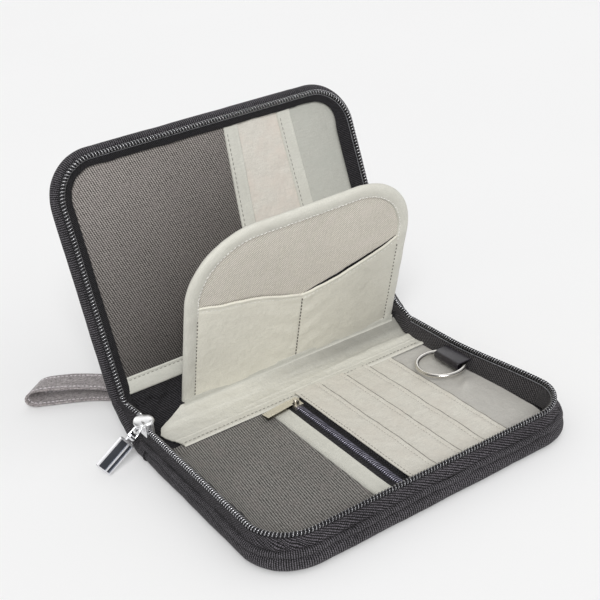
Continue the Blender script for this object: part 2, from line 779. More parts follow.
TWILL = cloth("twill_grey", (36, 35, 33), (170, 167, 162), angle=atan2(0.12, -1.0),
              pitch=1.45, cross=1.15, wander=2.2, relief=0.15, fine=0.75, sheen=0.08,
              patch=0.10, blot=(122, 115, 112), grain=0.42)
LID_TWILL = cloth("twill_grey_lid", (62, 58, 56), (200, 193, 187), angle=atan2(0.33, 1.0),
                  pitch=1.4, cross=1.15, wander=1.6, relief=0.15, fine=0.6, sheen=0.10,
                  patch=0.10, blot=(140, 132, 130), grain=0.36,
                  shade=(-0.45, 0.9, 34.0, 165.0, 0.17))
PAGE_CLOTH = cloth("page_cloth", (172, 166, 154), (238, 233, 222), angle=radians(125),
                   pitch=1.4, cross=1.0, relief=0.10, patch=0.06, blot=(212, 204, 196),
                   grain=0.3)

SATIN = satin("satin_beige", (184, 181, 172), (220, 217, 207), (202, 197, 187), crumple=0.6)
PAGE_SATIN = satin("satin_green_beige", (214, 211, 198), (238, 235, 222), (222, 219, 206),
                   dusk=(0.0, 60.0, -1.0, 0.0, 0.80))
ROSE_SATIN = satin("satin_rose_beige", (185, 182, 173), (221, 218, 208), (202, 197, 187),
                   crumple=0.6)
LID_SATIN = satin("satin_lid", (190, 186, 177), (220, 216, 207), (209, 199, 189), crumple=0.6)
COOL_SATIN = satin("satin_cool_grey", (168, 166, 160), (194, 191, 185), (178, 176, 170))
LID_COOL_SATIN = satin("satin_lid_grey", (170, 170, 162), (196, 196, 188), (182, 183, 175),
                       dusk=(50.0, 95.0, -1.0, 0.0, 0.85))
TAPE = satin("tape_grey", (184, 184, 175), (214, 213, 204), (196, 195, 186), rough=0.62,
             crumple=0.3)
PAGE_TAPE = satin("page_tape", (192, 191, 181), (222, 220, 210), (202, 200, 190), rough=0.6,
                  crumple=0.3)
HINGE_TAPE = satin("hinge_tape", (188, 187, 178), (218, 216, 206), (200, 198, 188),
                   rough=0.6, crumple=0.6, dusk=(-30.0, 50.0, 15.0, 26.0, 0.48))

STRAP = melange("strap_melange", (66, 61, 62), (132, 125, 125), (222, 215, 214))
THREAD_LIGHT = thread("thread_light", (226, 224, 218), (246, 245, 240))
THREAD_MID = thread("thread_mid", (100, 97, 90), (136, 132, 124))
THREAD_LIP = thread("thread_lip", (112, 108, 100), (142, 137, 129))
THREAD_SOFT = thread("thread_soft", (140, 136, 127), (176, 171, 162))
THREAD_DARK = thread("thread_dark", (62, 59, 53), (98, 94, 86))
THREAD_STRAP = thread("thread_strap", (216, 208, 212), (240, 234, 238))
THREAD_EDGE = thread("tape_edge_thread", (96, 96, 100), (140, 140, 145))

CHROME = metal("chrome", (0.80, 0.80, 0.82), (0.90, 0.90, 0.92), rough=0.08)
NICKEL = metal("nickel", (0.66, 0.64, 0.60), (0.84, 0.82, 0.78), rough=0.14)
SLIDER_CHROME = metal("chrome_slider", (0.93, 0.93, 0.94), (0.98, 0.98, 0.98), rough=0.24)
CHAMPAGNE = metal("champagne", (0.86, 0.82, 0.74), (0.96, 0.93, 0.87), rough=0.26)
SMALL_PULL = rimmed_metal("champagne_pull", flat=(0.93, 0.90, 0.83), rim=(0.13, 0.12, 0.10),
                          rough=0.24)
PULL_FACE = metal("pull_dark_face", (0.055, 0.06, 0.07), (0.10, 0.105, 0.12), rough=0.22)
COIL = coil_finish("zip_coil", (0.20, 0.20, 0.21), (0.33, 0.33, 0.34), metalness=0.92,
                   rough=0.22, worn=(95.0, 170.0, 1.9))
LID_COIL = coil_finish("zip_coil_lid", (0.34, 0.34, 0.35), (0.52, 0.52, 0.53),
                       metalness=0.92, rough=0.22)
SMALL_COIL = coil_finish("zip_coil_small", (0.16, 0.155, 0.20), (0.36, 0.35, 0.43),
                         metalness=0.7, rough=0.24)
LEATHER = leather("pu_black", (16, 13, 18), (34, 29, 38))


# ---------------------------------------------------------------- parts of both leaves
RING = around(24)


def edge_roll(name, place, body, node, centre, radius, step, seed, lump, wander, flat=0.0,
              pinch=None):
    """A padded roll round a leaf; centre is (inset, height). lump varies the radius,
    wander the centre, flat presses its underside and pinch scales it along its run."""
    run, rail = LEAF.sample(step, ROLL_BACK)
    lumps = lump * wobble(run, seed, 46)[:, None]
    size = radius * (1 + lumps + 0.45 * lump * ripple(run[:, None], RING * 6, seed + 1, 19))
    if pinch is not None:
        size = size * pinch(run)[:, None]
    inset = centre[0] + wander * wobble(run, seed + 2, 60)[:, None] - size * np.cos(RING)
    height = centre[1] + wander * wobble(run, seed + 3, 50)[:, None] + size * np.sin(RING)
    if flat:
        press = flat * (0.4 + 0.3 * wobble(run, seed + 5, 30)[:, None])
        height = np.maximum(height, centre[1] - radius + press)
    rings = rail_points(place, rail, np.maximum(inset, 0.0), height)
    around_uv = perimeter(radius * np.cos(RING), radius * np.sin(RING))
    attach(tube(name, rings, run, around_uv, ROLL), body, node)


def strip(name, place, body, node, section, step, material, seed, amount, shift=None):
    """A cloth strip round a leaf; section rows are (inset, height)."""
    inset, height = np.array(section, float).T[:, None]
    run, rail = LEAF.sample(step, ROLL_BACK)
    scale = 24
    waves = 0.5 * wobble(run, seed, scale)[:, None]
    waves = waves + 0.6 * ripple(run[:, None], height * 3, seed + 1, scale * 0.6)
    moved_inset, moved_height = inset + amount * waves, height
    if shift is not None:
        shift_in, shift_up = shift(run[:, None], height)
        moved_inset, moved_height = moved_inset + shift_in, height + shift_up
    rings = rail_points(place, rail, moved_inset, moved_height)
    around_uv = perimeter(inset[0], height[0])
    attach(tube(name, rings, run, around_uv, material, sharp=70), body, node)


def main_coil(body, place, height, material, sink=0.0):
    """The zip coil round a leaf with its dark cord inside."""
    length = LEAF.length(ROLL_BACK, COIL_INSET)

    def frame_at(run):
        rail = LEAF.at(run, ROLL_BACK, COIL_INSET)
        drop = sink * slump(run, length)
        centre = rail_points(place, rail, COIL_INSET + drop, height - drop)
        return centre, place(rail[2], rail[3], 0) - place(0, 0, 0), up_from(place)

    spiral = coil(body + "_coil_spiral", frame_at, length, out_radius=1.25, up_radius=1.10,
                  material=material)
    attach(spiral, body, body + "_zip_coil")
    run = np.linspace(0, length, 260)
    rings = cord(*frame_at(run), wide=1.0, tall=0.85)
    attach(tube(body + "_coil_core", rings, run, np.linspace(0, 4.5, 9), BLACK), body)


def wall_lining(name, place, body, nodes, top, foot_left, foot_far, foot_right, seed, wavy,
                waves, bulge, back, material=BLACK, thick=0.7, part=(0.0, 1.0),
                foot_rear=None, sink=0.0):
    """Lining inside the coil. top and feet are (inset, height); the foot wanders by
    wavy with the two wave lengths; part is the covered share of the run."""
    run, rail = LEAF.sample(1.7, back)
    total = run[-1]
    keep = (run >= part[0] * total - 0.9) & (run <= part[1] * total + 0.9)
    run, rail = run[keep], [values[keep] for values in rail]
    rows = np.array([0, 0.04, 0.2, 0.4, 0.6, 0.8, 0.93, 1.0])
    to_far = ease((run - 105) / 40)[:, None]
    to_right = ease((run - (total - 145)) / 40)[:, None]
    foot = mix(np.array(foot_left), np.array(foot_far), to_far)
    foot = mix(foot, np.array(foot_right), to_right)
    if foot_rear is not None:
        foot = mix(foot, np.array(foot_rear), ease((24 - run) / 16)[:, None])
    edge = 0.7 * wobble(run, seed, waves[0]) + 0.5 * wobble(run, seed + 1, waves[1])
    edge = wavy * edge[:, None]
    drop = (sink * slump(run, total))[:, None]
    inset = top[0] + drop + (foot[:, :1] + edge + 0.1 * drop - top[0]) * rows
    height = top[1] - drop + (foot[:, 1:] + drop - top[1]) * rows
    belly = np.sin(rows * pi)
    puff = bulge * belly * (1 + 0.5 * wobble(run, seed + 2, 25)[:, None])
    inset = inset + puff * 0.6
    # the open ends reach a little further out
    if part[0] == 0.0:
        inset = inset - 0.3 * ease((3.5 - run) / 3.5)[:, None]
    if part[1] == 1.0:
        inset = inset - 0.3 * ease((3.5 - (total - run)) / 3.5)[:, None]
    height = height + puff * 0.6 + 0.25 * ripple(run[:, None], rows * 20, seed + 3, 14) * belly
    upper = rail_points(place, rail, inset, height)
    lower = rail_points(place, rail, inset - thick * 0.75, height - thick * 0.75)
    attach(shell(name, upper, lower, run, rows * 12, material), body, *nodes)


def tape_edge(name, place, body, inset, height, radius, sink=0.0):
    """Thin light edge of the zip tape, seen inside the coil."""
    length = LEAF.length(ROLL_BACK, TAPE_INSET)
    run = np.linspace(0, length, 300)
    drop = (sink * slump(run, length))[:, None]
    ring = around(6)
    rings = rail_points(place, LEAF.at(run, ROLL_BACK, TAPE_INSET),
                        inset + radius * np.cos(ring) + drop,
                        height + radius * np.sin(ring) - drop)
    attach(tube(name, rings, run, np.linspace(0, 2, 7), THREAD_EDGE), body)


def leaf_panel(body, place, inset, top, crown, seed):
    """Cover, stiffener and lining of a leaf as one padded panel."""
    half, radius = HALF_W - inset, CORNER - inset
    hinge_gap, bottom = 5.5, 0.9
    xs = columns(-half, half, margin=14, side_count=9, gap=4, middle_count=26, edge=0.7)
    far = (DEPTH - CORNER + corner_reach(xs, CORNER_X, radius))[:, None]
    share = np.concatenate([[0, 0.004, 0.012], np.linspace(0.03, 0.97, 26),
                            [0.988, 0.996, 1.0]])
    x = np.repeat(xs[:, None], len(share), 1)
    y = hinge_gap + (far - hinge_gap) * share
    edge = np.minimum(half - np.abs(x), far - y)
    full = ease(edge / 12)
    low = bottom - crown * full + 0.5 * bell(edge, 0, 0.8) + 0.10 * ripple(x, y, seed, 60) * full
    if body == "base":
        low = np.maximum(low, 0.0)      # the base rests on the floor
    high = top - 0.4 * bell(edge, 0, 0.8)
    panel = shell(body + "_panel", place(x, y, high), place(x, y, low), x, y, COVER)
    attach(panel, body, *(body + part for part in ("_cover", "_board", "_lining")))


def tape_profile(x, low, high, height, crown, rolled=0.28):
    """Height across a folded tape with rolled edges."""
    share = (x - low) / (high - low)
    edge = np.minimum(share, 1 - share) * (high - low)
    return (height + rolled * bell(edge, 0.7, 0.55) + crown * arch(share)
            - 0.5 * bell(edge, 0, 0.28))


# ================================================================ BASE LEAF
BASE_ROLL_INSET, BASE_ROLL_Z, BASE_ROLL_R = 4.05, 4.15, 4.05


def seam_step(run):
    """The left binding is sewn over itself near the fold: full, then stepped in."""
    left = np.where(run < 5.2, 1.0, 0.87 + 0.10 * ease((run - 5.2) / 7.0))
    return np.where(run > LEAF_RUN / 2, 0.99, left)


def roll_hem():
    """Cord round the left roll where its binding overlaps."""
    angle = np.linspace(-0.55 * pi, 0.80 * pi, 40)
    x, y, out_x, out_y = LEAF.at(np.full(len(angle), 5.6), ROLL_BACK)
    radius = 4.12 + 0.08 * np.sin(angle * 3.0)
    rail = (x, y + 0.9 * np.sin(angle), out_x, out_y)
    path = rail_points(base_leaf, rail,
                       np.maximum(BASE_ROLL_INSET - radius * np.cos(angle), 0.02),
                       np.maximum(BASE_ROLL_Z + radius * np.sin(angle), 0.45))
    tangent = unit(np.gradient(path, axis=0))
    side = unit(np.cross(tangent, Y_AXIS))
    rings = cord(path, side, np.cross(side, tangent), 0.42, 0.8 * 0.42)
    attach(tube("base_roll_hem", rings, angle * 4.0, np.linspace(0, 2.6, 9), BLACK), "base",
           slot="roll_cloth")


def gusset_crumple(run, height):
    """Creases at both far corners, long waves at the front and the sunk right wall."""
    near = (bell(run, CORNER_MID + 6, 18.0)
            + 0.7 * bell(run, LEAF_RUN - CORNER_MID - 4, 16.0))
    middle = np.clip((height - 10.6) / 7, 0, 1) * np.clip((18.6 - height) / 7, 0, 1) * 4
    fold = np.sin((run - CORNER_MID) * 0.55 + height * 0.45 + 0.8 * wobble(run, 37, 30))
    front = (run > 95) * (run < LEAF_RUN - 95)
    long_wave = 0.30 * np.sin(height * 0.9 + 1.2 * wobble(run, 38, 60)) * front
    sunk = SINK * slump(run, LEAF_RUN) * np.clip((height - 10.2) / 8.4, 0, 1)
    return near * middle * 0.75 * fold + middle * long_wave + sunk, \
        near * middle * 0.2 * fold - sunk


def tape_sunk(run, height):
    sunk = SINK * slump(run, LEAF_RUN) * np.clip((height - 12.0) / 6.6, 0, 1)
    return sunk, -sunk


# (inset, height) round each strip
GUSSET_SECTION = [
    (4.0, 10.2), (3.6, 11.8), (3.35, 13.2), (3.6, 14.8), (4.0, 16.4), (4.4, 17.8), (4.5, 18.6),
    (5.2, 18.6), (5.15, 17.6), (4.8, 16.2), (4.5, 14.6), (4.3, 13.0), (4.5, 11.6), (4.9, 10.2)]
BASE_TAPE_SECTION = [(5.3, 12.0), (5.3, 17.0), (5.25, 19.6), (5.6, 20.0), (6.0, 19.7),
                     (6.1, 17.0), (6.1, 12.0)]


def base_edges():
    edge_roll("base_roll", base_leaf, "base", "base_edge_roll",
              (BASE_ROLL_INSET, BASE_ROLL_Z), radius=BASE_ROLL_R, step=1.3, seed=11,
              lump=0.035, wander=0.12, flat=0.5, pinch=seam_step)
    roll_hem()
    # second fold above the roll, crumpled a little
    edge_roll("base_fold", base_leaf, "base", "base_seam_welt", (2.7, 10.1), radius=1.9,
              step=1.3, seed=23, lump=0.13, wander=0.62)
    strip("base_gusset_cloth", base_leaf, "base", "base_gusset", GUSSET_SECTION, step=1.6,
          material=GUSSET, seed=31, amount=0.22, shift=gusset_crumple)
    strip("base_tape", base_leaf, "base", "base_zip_tape", BASE_TAPE_SECTION, step=2.4,
          material=BLACK, seed=41, amount=0.08, shift=tape_sunk)
    main_coil("base", base_leaf, BASE_COIL_Z, COIL, SINK)
    shared = dict(top=(6.3, 19.0), foot_left=(12.2, 12.1), foot_far=(11.0, 9.0), back=4.6,
                  sink=SINK)
    wall_lining("base_side_lining", base_leaf, "base", ("base_wall_lining",),
                foot_right=(9.6, 5.6), seed=51, part=(0.0, 0.5), foot_rear=(11.6, 7.4),
                wavy=0.7, waves=(34, 10), bulge=0.5, **shared)
    wall_lining("base_side_lining_right", base_leaf, "base", (), foot_right=(9.8, 5.6),
                seed=57, material=CHARCOAL, part=(0.5, 1.0), wavy=0.35, waves=(50, 22),
                bulge=0.9, **shared)
    tape_edge("base_tape_edge", base_leaf, "base", inset=7.0, height=19.1, radius=0.30,
              sink=SINK)


base_edges()

# ---------------------------------------------------------------- base pockets
POCKET_LOW, POCKET_HIGH = box("zip_pocket_panel")
FLOOR_FRONT, FLOOR_REAR, FLOOR_Z = POCKET_LOW[1], POCKET_HIGH[1], POCKET_LOW[2]
FLOOR_HALF = HALF_W - 11.3
FLOOR_CORNER = CORNER - (HALF_W - FLOOR_HALF)


def front_edge(x):
    return -FOLD_Y + CORNER - corner_reach(x, CORNER_X, FLOOR_CORNER)


def wall_rise(x, y, left=6.0, front=5.0):
    """How far the floor cloths climb the left and front walls."""
    from_left = np.maximum(x + FLOOR_HALF, 0)
    from_front = np.maximum(y - front_edge(x), 0)
    rise = left * bell(from_left, 0, 7.5, 1.4) * (1 - ease((y - 34) / 16))
    return rise + (front * bell(from_front, 0, 5.0, 1.4) * (1 - 0.6 * ease((rise - 2) / 2))
                   * (1 - 0.95 * ease((x - 62) / 20)))


def floor_piece(name, xs, height, thick, material, nodes=(), rows=40, overrun=3, slot=None):
    """A cloth on the base floor, from the front edge to past the pocket's rear end."""
    share = spread(0, 1, rows, 0.5 / 110.0)
    front = front_edge(xs)[:, None]
    x = np.repeat(xs[:, None], len(share), 1)
    y = front + (FLOOR_REAR + overrun - front) * share
    z = height(x, y)
    ob = shell(name, points(x, y, z), points(x, y, z - thick), x, y, material)
    attach(ob, "base", *nodes, slot=slot)


def twill_height(x, y):
    swell = 0.9 * bell(x, -60, 26) * bell(y, -5, 45)
    return (FLOOR_Z + 1.0 + wall_rise(x, y, left=6.6) + swell
            + 0.28 * ripple(x, y, 61, 48) + 0.06 * ripple(x, y, 62, 15))


def zip_pocket():
    """Twill pocket with its binding and the small zip to the right of it."""
    xs = np.concatenate([spread(-FLOOR_HALF, -FLOOR_HALF + 16, 12),
                         np.linspace(-FLOOR_HALF + 18, -34, 22), [-31, -28.5, -27.3, -26.6]])
    floor_piece("pocket_twill_panel", xs, twill_height, 0.9, TWILL, ("zip_pocket_panel",),
                rows=48, overrun=4)
    low, high = -26.9, -16.3
    floor_piece("pocket_binding", tape_columns(low, high, 6),
                lambda x, y: tape_profile(x, low, high, FLOOR_Z + 2.0, crown=-0.15, rolled=0.5)
                + wall_rise(x, y) + 0.12 * wobble(y, 71, 40),
                1.0, TAPE, ("zip_pocket_binding",), rows=44)
    for side, low, high, seed, nodes in (("left", -16.6, -11.6, 72, ("pocket_zip_tape",)),
                                         ("right", -9.4, -4.8, 73, ())):
        floor_piece("pocket_tape_" + side, np.linspace(low, high, 6),
                    lambda x, y: FLOOR_Z + 0.75 + wall_rise(x, y)
                    + 0.06 * ripple(x, y, seed, 20),
                    0.6, BLACK, nodes, rows=30)

    zip_low, zip_high = box("pocket_zip_coil")
    zip_x, _, zip_z = (zip_low + zip_high) / 2
    length = FLOOR_REAR - FLOOR_FRONT

    def frame_at(run):
        y = FLOOR_FRONT + 1.0 + run
        return points(zip_x + 0.5, y, zip_z + wall_rise(zip_x, y)), X_AXIS, Z_AXIS

    spiral = coil("pocket_coil_spiral", frame_at, length, out_radius=2.0, up_radius=0.8,
                  material=SMALL_COIL, wire=0.40, pitch=1.6, per_turn=12)
    attach(spiral, "base", "pocket_zip_coil")
    run = np.linspace(0, length, 60)
    rings = cord(*frame_at(run), wide=1.6, tall=0.45)
    attach(tube("pocket_coil_core", rings, run, np.linspace(0, 5, 9), BLACK), "base")


SLOT_BOXES = [box("card_slot_%d" % k) for k in (1, 2, 3, 4)]
SLOT_HEMS = [high[0] for _, high in SLOT_BOXES]
SLOT_TOPS = [high[2] for _, high in SLOT_BOXES]
SLOT_LEFT = SLOT_BOXES[0][0][0]
LAST_HEM = SLOT_HEMS[3]
soft_threads, dark_threads = Threads(), Threads()


def slot_height(k):
    def height(x, y):
        inside = SLOT_HEMS[k] - x           # distance from the mouth
        z = SLOT_TOPS[k] + 0.10 * ripple(x, y, 100 + k, 40)
        z = z + 0.40 * bell(inside, 0.8, 0.8)       # rolled fold at the mouth
        z = z - 0.30 * bell(inside, 2.6, 0.5)       # sewn line pulls in
        z = z + 0.22 * ripple(x * 1.6, y, 140 + k, 13) * bell(inside, 0, 9.0)
        z = z + 0.22 * bell(inside, 5.5, 2.4)
        gape = 0.55 + 0.35 * wobble(y, 110 + k, 60)
        z = z + gape * bell(inside, 0, 3.5) * bell(y, -5, 45)
        z = z - 0.35 * bell(np.maximum(inside, 0), 0, 0.16)
        return z + wall_rise(x, y, front=4.2) * 0.95
    return height


def card_slots():
    """Four overlapping card slots, their mouths to the right."""
    near_mouth = np.array([5.6, 4.4, 3.4, 3.0, 2.6, 2.2, 1.7, 1.2, 0.8, 0.45, 0.2, 0.0])
    sewn_y = np.linspace(FLOOR_REAR - 1, FLOOR_FRONT + 3, 90)
    for k in (3, 2, 1, 0):
        hem = SLOT_HEMS[k]
        start = SLOT_LEFT if k == 0 else SLOT_HEMS[k - 1] - 6.0
        xs = np.concatenate([[start, start + 0.2, start + 0.6],
                             np.linspace(start + 1.4, hem - 7, 8), hem - near_mouth])
        height = slot_height(k)
        floor_piece("card_slot_cloth_%d" % (k + 1), xs, height, 0.6,
                    (SATIN, ROSE_SATIN)[k % 2], ("card_slot_%d" % (k + 1),))
        soft_threads.stitches(points(hem - 2.6, sewn_y, height(hem - 2.6, sewn_y)), Z_AXIS,
                              pitch=2.4, length=1.8, radius=0.15, rise=0.03)
    lips = Threads()
    y = np.linspace(FLOOR_REAR - 1, FLOOR_FRONT + 2, 120)
    for k, hem in enumerate(SLOT_HEMS):
        x = hem + 0.12 + 0.10 * wobble(y, 150 + k, 12)
        path = points(x, y, slot_height(k)(hem - 0.5, y) - 0.42)
        side = np.cross(unit(np.gradient(path, axis=0)), Z_AXIS)
        lips.rings(cord(path, side, Z_AXIS, 0.30, 0.30, 6))
    lips.finish("slot_lips", THREAD_LIP, "base")
    # the sewn left side of the first slot
    x = SLOT_LEFT + 1.6
    dark_threads.stitches(points(x, sewn_y, slot_height(0)(x, sewn_y)), Z_AXIS,
                          pitch=2.6, length=1.9, radius=0.18, rise=0.04)


def card_back_height(x, y):
    return FLOOR_Z + 0.9 + 0.08 * ripple(x, y, 120, 30) + wall_rise(x, y) * 0.9 - 0.35


def side_pocket_height(x, y):
    z = FLOOR_Z + 0.95 + wall_rise(x, y, left=0, front=4.5) + 0.12 * ripple(x, y, 130, 35)
    # slanted soft fold near the key loop
    across = (x - 80) * 0.86 + (y + 2) * 0.5
    along = -(x - 80) * 0.5 + (y + 2) * 0.86
    z = z + 2.2 * bell(across, 0, 7) * bell(along, 0, 2.6)
    # shallow fold further back
    across = (x - 72) * 0.3 + (y - 38) * 0.95
    return z + 0.6 * bell(across, 0, 3) * bell(x, 80, 12)


def right_pockets():
    floor_piece("card_back_cloth", np.linspace(SLOT_HEMS[2] - 6, LAST_HEM + 2, 14),
                card_back_height, 0.5, COOL_SATIN, ("card_backing",), rows=30,
                slot="satin_beige")
    xs = np.concatenate([LAST_HEM + np.array([0.6, 1.0, 2.0]),
                         np.linspace(LAST_HEM + 3.5, FLOOR_HALF - 6, 14),
                         np.linspace(FLOOR_HALF - 5, FLOOR_HALF, 9)])
    floor_piece("side_pocket_cloth", xs, side_pocket_height, 0.6, COOL_SATIN,
                ("side_pocket",), rows=52)


zip_pocket()
card_slots()
right_pockets()
leaf_panel("base", base_leaf, inset=7.0, top=4.6, crown=0.7, seed=140)


# ================================================================ SPINE AND FOLDS
def cross_cloth(name, stations, xs, thick, material, motion, nodes, seed, wrinkle, scale,
                rows=44, outward=False, lift=None, fit=None):
    """A cloth whose section runs across a fold and whose length is x. lift adds height
    and fit moves x, both given x and the share of the way along the section."""
    line, run, normal = smooth_line(fold_section(*stations), rows)
    x, across = np.meshgrid(xs, run, indexing="ij")
    share = across / run[-1]
    fade = np.minimum(1, np.minimum(across, run[-1] - across) / 6.0)
    height = wrinkle * ripple(x, across * 2.2, seed, scale) * fade
    if fit is not None:
        x = fit(x, share)
    if lift is not None:
        height = height + lift(x, share)

    def layer(offset):
        return points(x, line[:, 0] + normal[:, 0] * offset, line[:, 1] + normal[:, 1] * offset)

    other = layer(height + (thick if outward else -thick))
    attach(shell(name, layer(height), other, x, across, material, sharp=60), motion, *nodes)


HINGE_LOW, HINGE_HIGH = box("base_hinge_tape")
HINGE_X, HINGE_Y, HINGE_Z = HINGE_LOW[0], HINGE_LOW[1], HINGE_HIGH[2]
HINGE_END_X = HINGE_HIGH[0]
BUNCH_END_X = box("page_binding")[0][0] - 1.5


def hinge_cut(share):
    """How far the left end of the light hinge cloth is cut back along its width."""
    return np.interp(share, [0.0, 0.12, 0.30, 0.44, 0.58, 0.72, 0.86, 1.0],
                     [4.4, 3.6, 1.5, -0.6, -2.0, 1.2, 10.5, 19.5])


def bunched(x, far):
    """far: distance from the middle of the spine. The lining climbs the ends of the
    spine and is bunched up left of the page."""
    ends = 2.6 * ease((np.abs(x) - 93.0) / 7.0)
    limit = np.minimum(HINGE_X + hinge_cut((far + 27.0) / 38.0) + 0.6, BUNCH_END_X)
    folds = np.clip(1.0 - np.abs(ripple(x + 0.6 * far, far * 1.3, 217, 17)), 0, 1)
    creases = ripple(x, far * 1.4, 218, 6.5)
    bunch = ease((limit - x) / 6.0) * (0.6 + 2.0 * folds ** 2 + 0.32 * creases)
    return ease((17.0 - np.abs(far)) / 7.0) * (ends + bunch)


def hinge_lift(x, share):
    """Creases, sag and a dip on the right of the hinge cloth."""
    seam = -0.28 * bell(share, 0.245, 0.012) + 0.18 * bell(share, 0.27, 0.02)
    sag = 0.35 * arch((share - 0.3) / 0.6) * (0.3 + 0.5 * wobble(x, 231, 70))
    right = ease((x - 5.0) / 55.0)
    dip = right * (0.7 * bell(share, 0.44, 0.07) - 1.1 * bell(share, 0.66, 0.13))
    crease = (0.55 * bell(share, 0.40 + 0.0012 * (x + 20), 0.028) * ease((x + 70) / 30)
              * (0.5 + 0.5 * wobble(x, 232, 60)))
    crease2 = 0.45 * bell(share, 0.62 - 0.0015 * x, 0.03) * (0.4 + 0.6 * wobble(x, 233, 45))
    return seam + sag + dip + crease + crease2


def hinge_fit(x, share):
    """The left end is cut on a slant, the bunched lining shows past it."""
    near = np.clip((x - HINGE_X) / 46.0, 0, 1)
    return x + (hinge_cut(share) + 0.35 * wobble(share * 30, 235, 9)) * (1 - near) ** 2


# Sections across the folds: (place, y, z)
OUTER_BASE = [(points, FOLD_Y - 9, 0.15), (points, FOLD_Y - 4, 0.1), (points, FOLD_Y + 1.2, 0.1),
              (spine, 4, -1.3), (spine, 9, -1.1), (spine, SPINE_MID + 0.6, -1.1)]
OUTER_LID = [(spine, SPINE_MID - 0.6, -1.1), (spine, SPINE_W - 9, -1.1),
             (spine, SPINE_W - 4, -1.3), (lid, -1.2, 0.1), (lid, 4, 0.1), (lid, 9, 0.15)]
INNER_BASE = [(points, FOLD_Y - 17, 5.2), (points, FOLD_Y - 8, 5.5), (points, FOLD_Y - 2.5, 5.4),
              (spine, 4.5, 2.0), (spine, 9, 1.3), (spine, SPINE_MID + 0.8, 1.2)]
INNER_LID = [(spine, SPINE_MID - 0.8, 1.2), (spine, SPINE_W - 9, 1.3),
             (spine, SPINE_W - 4.5, 2.0), (lid, 2.5, 5.0), (lid, 6, 5.2), (lid, 9, 4.9)]
HINGE = [(points, HINGE_Y - 0.4, HINGE_Z - 0.2), (points, HINGE_Y + 0.1, HINGE_Z + 0.55),
         (points, HINGE_Y + 1.2, HINGE_Z + 0.7), (points, HINGE_Y + 3, HINGE_Z + 0.25),
         (points, HINGE_Y + 9, HINGE_Z + 0.1), (points, FOLD_Y - 5, HINGE_Z + 0.1),
         (points, FOLD_Y - 1, HINGE_Z + 0.6), (spine, 6.0, 4.4), (spine, 9.5, 3.0),
         (spine, 12.6, 2.6), (spine, 14.4, 3.0)]
ROLL_BASE = [(points, FOLD_Y - 10, 4.1), (points, FOLD_Y - 6, 4.1), (points, FOLD_Y - 1, 3.6),
             (spine, 5.5, 1.6), (spine, 9.5, 1.2), (spine, SPINE_MID + 0.5, 1.1)]
ROLL_LID = [(spine, SPINE_MID - 0.5, 1.1), (spine, SPINE_W - 9.5, 1.2),
            (spine, SPINE_W - 5.5, 1.6), (lid, 1, 3.2), (lid, 6, 3.6), (lid, 10, 3.6)]


def spine_cloths():
    """Outer cover, dark inner lining and light hinge cloth over the folds."""
    outer = dict(thick=1.2, material=COVER, wrinkle=0.10, scale=40, rows=34, outward=True,
                 xs=columns(-99, 99, margin=14, side_count=6, gap=7, middle_count=20,
                            edge=0.8))
    cross_cloth("outer_cloth_base_fold", OUTER_BASE, motion=BASE_FOLD,
                nodes=("spine_cover",), seed=201, **outer)
    cross_cloth("outer_cloth_lid_fold", OUTER_LID, motion=LID_FOLD, nodes=(), seed=202,
                **outer)
    inner = dict(thick=0.7, material=BLACK, wrinkle=0.45, scale=20,
                 xs=np.concatenate([spread(-100.5, -62, 40, 0.5), np.linspace(-58, 84, 30),
                                    spread(88, 100.5, 10, 0.8)]))
    cross_cloth("spine_lining_base_side", INNER_BASE, motion=BASE_FOLD,
                nodes=("spine_lining",), seed=211,
                lift=lambda x, share: bunched(x, (share - 1.0) * 27.0), **inner)
    cross_cloth("spine_lining_lid_side", INNER_LID, motion=LID_FOLD, nodes=(), seed=212,
                lift=lambda x, share: bunched(x, share * 19.0), **inner)
    cross_cloth("hinge_cloth", HINGE, columns(HINGE_X, HINGE_END_X, 12, 8, 3, 40), 0.6,
                HINGE_TAPE, BASE_FOLD, ("base_hinge_tape", "page_hinge_tape"), seed=221,
                wrinkle=0.22, scale=26, rows=72, lift=hinge_lift, fit=hinge_fit)
    x = np.linspace(HINGE_X + 2, HINGE_END_X - 2, 120)
    dark_threads.stitches(points(x, HINGE_Y + 2.6, HINGE_Z + 0.55), Z_AXIS, pitch=2.8,
                          length=2.0, radius=0.18, rise=0.10)


def fold_roll(name, sign, stations, radii, motion, nodes, seed):
    """Rolled outer edge over a fold; sign is -1 on the left and 1 on the right."""
    line, run, normal = smooth_line(fold_section(*stations), 30)
    radius = np.interp(run / run[-1], np.linspace(0, 1, len(radii)), radii)
    radius = (radius * (1 + 0.04 * wobble(run, seed, 12)))[:, None]
    off = radius * np.sin(RING)
    rings = points(sign * (HALF_W - 4.0) + sign * radius * np.cos(RING),
                   line[:, :1] + normal[:, :1] * off, line[:, 1:] + normal[:, 1:] * off)
    around_uv = perimeter(3.6 * np.cos(RING), 3.6 * np.sin(RING))
    attach(tube(name, rings, run, around_uv, ROLL), motion, *nodes)


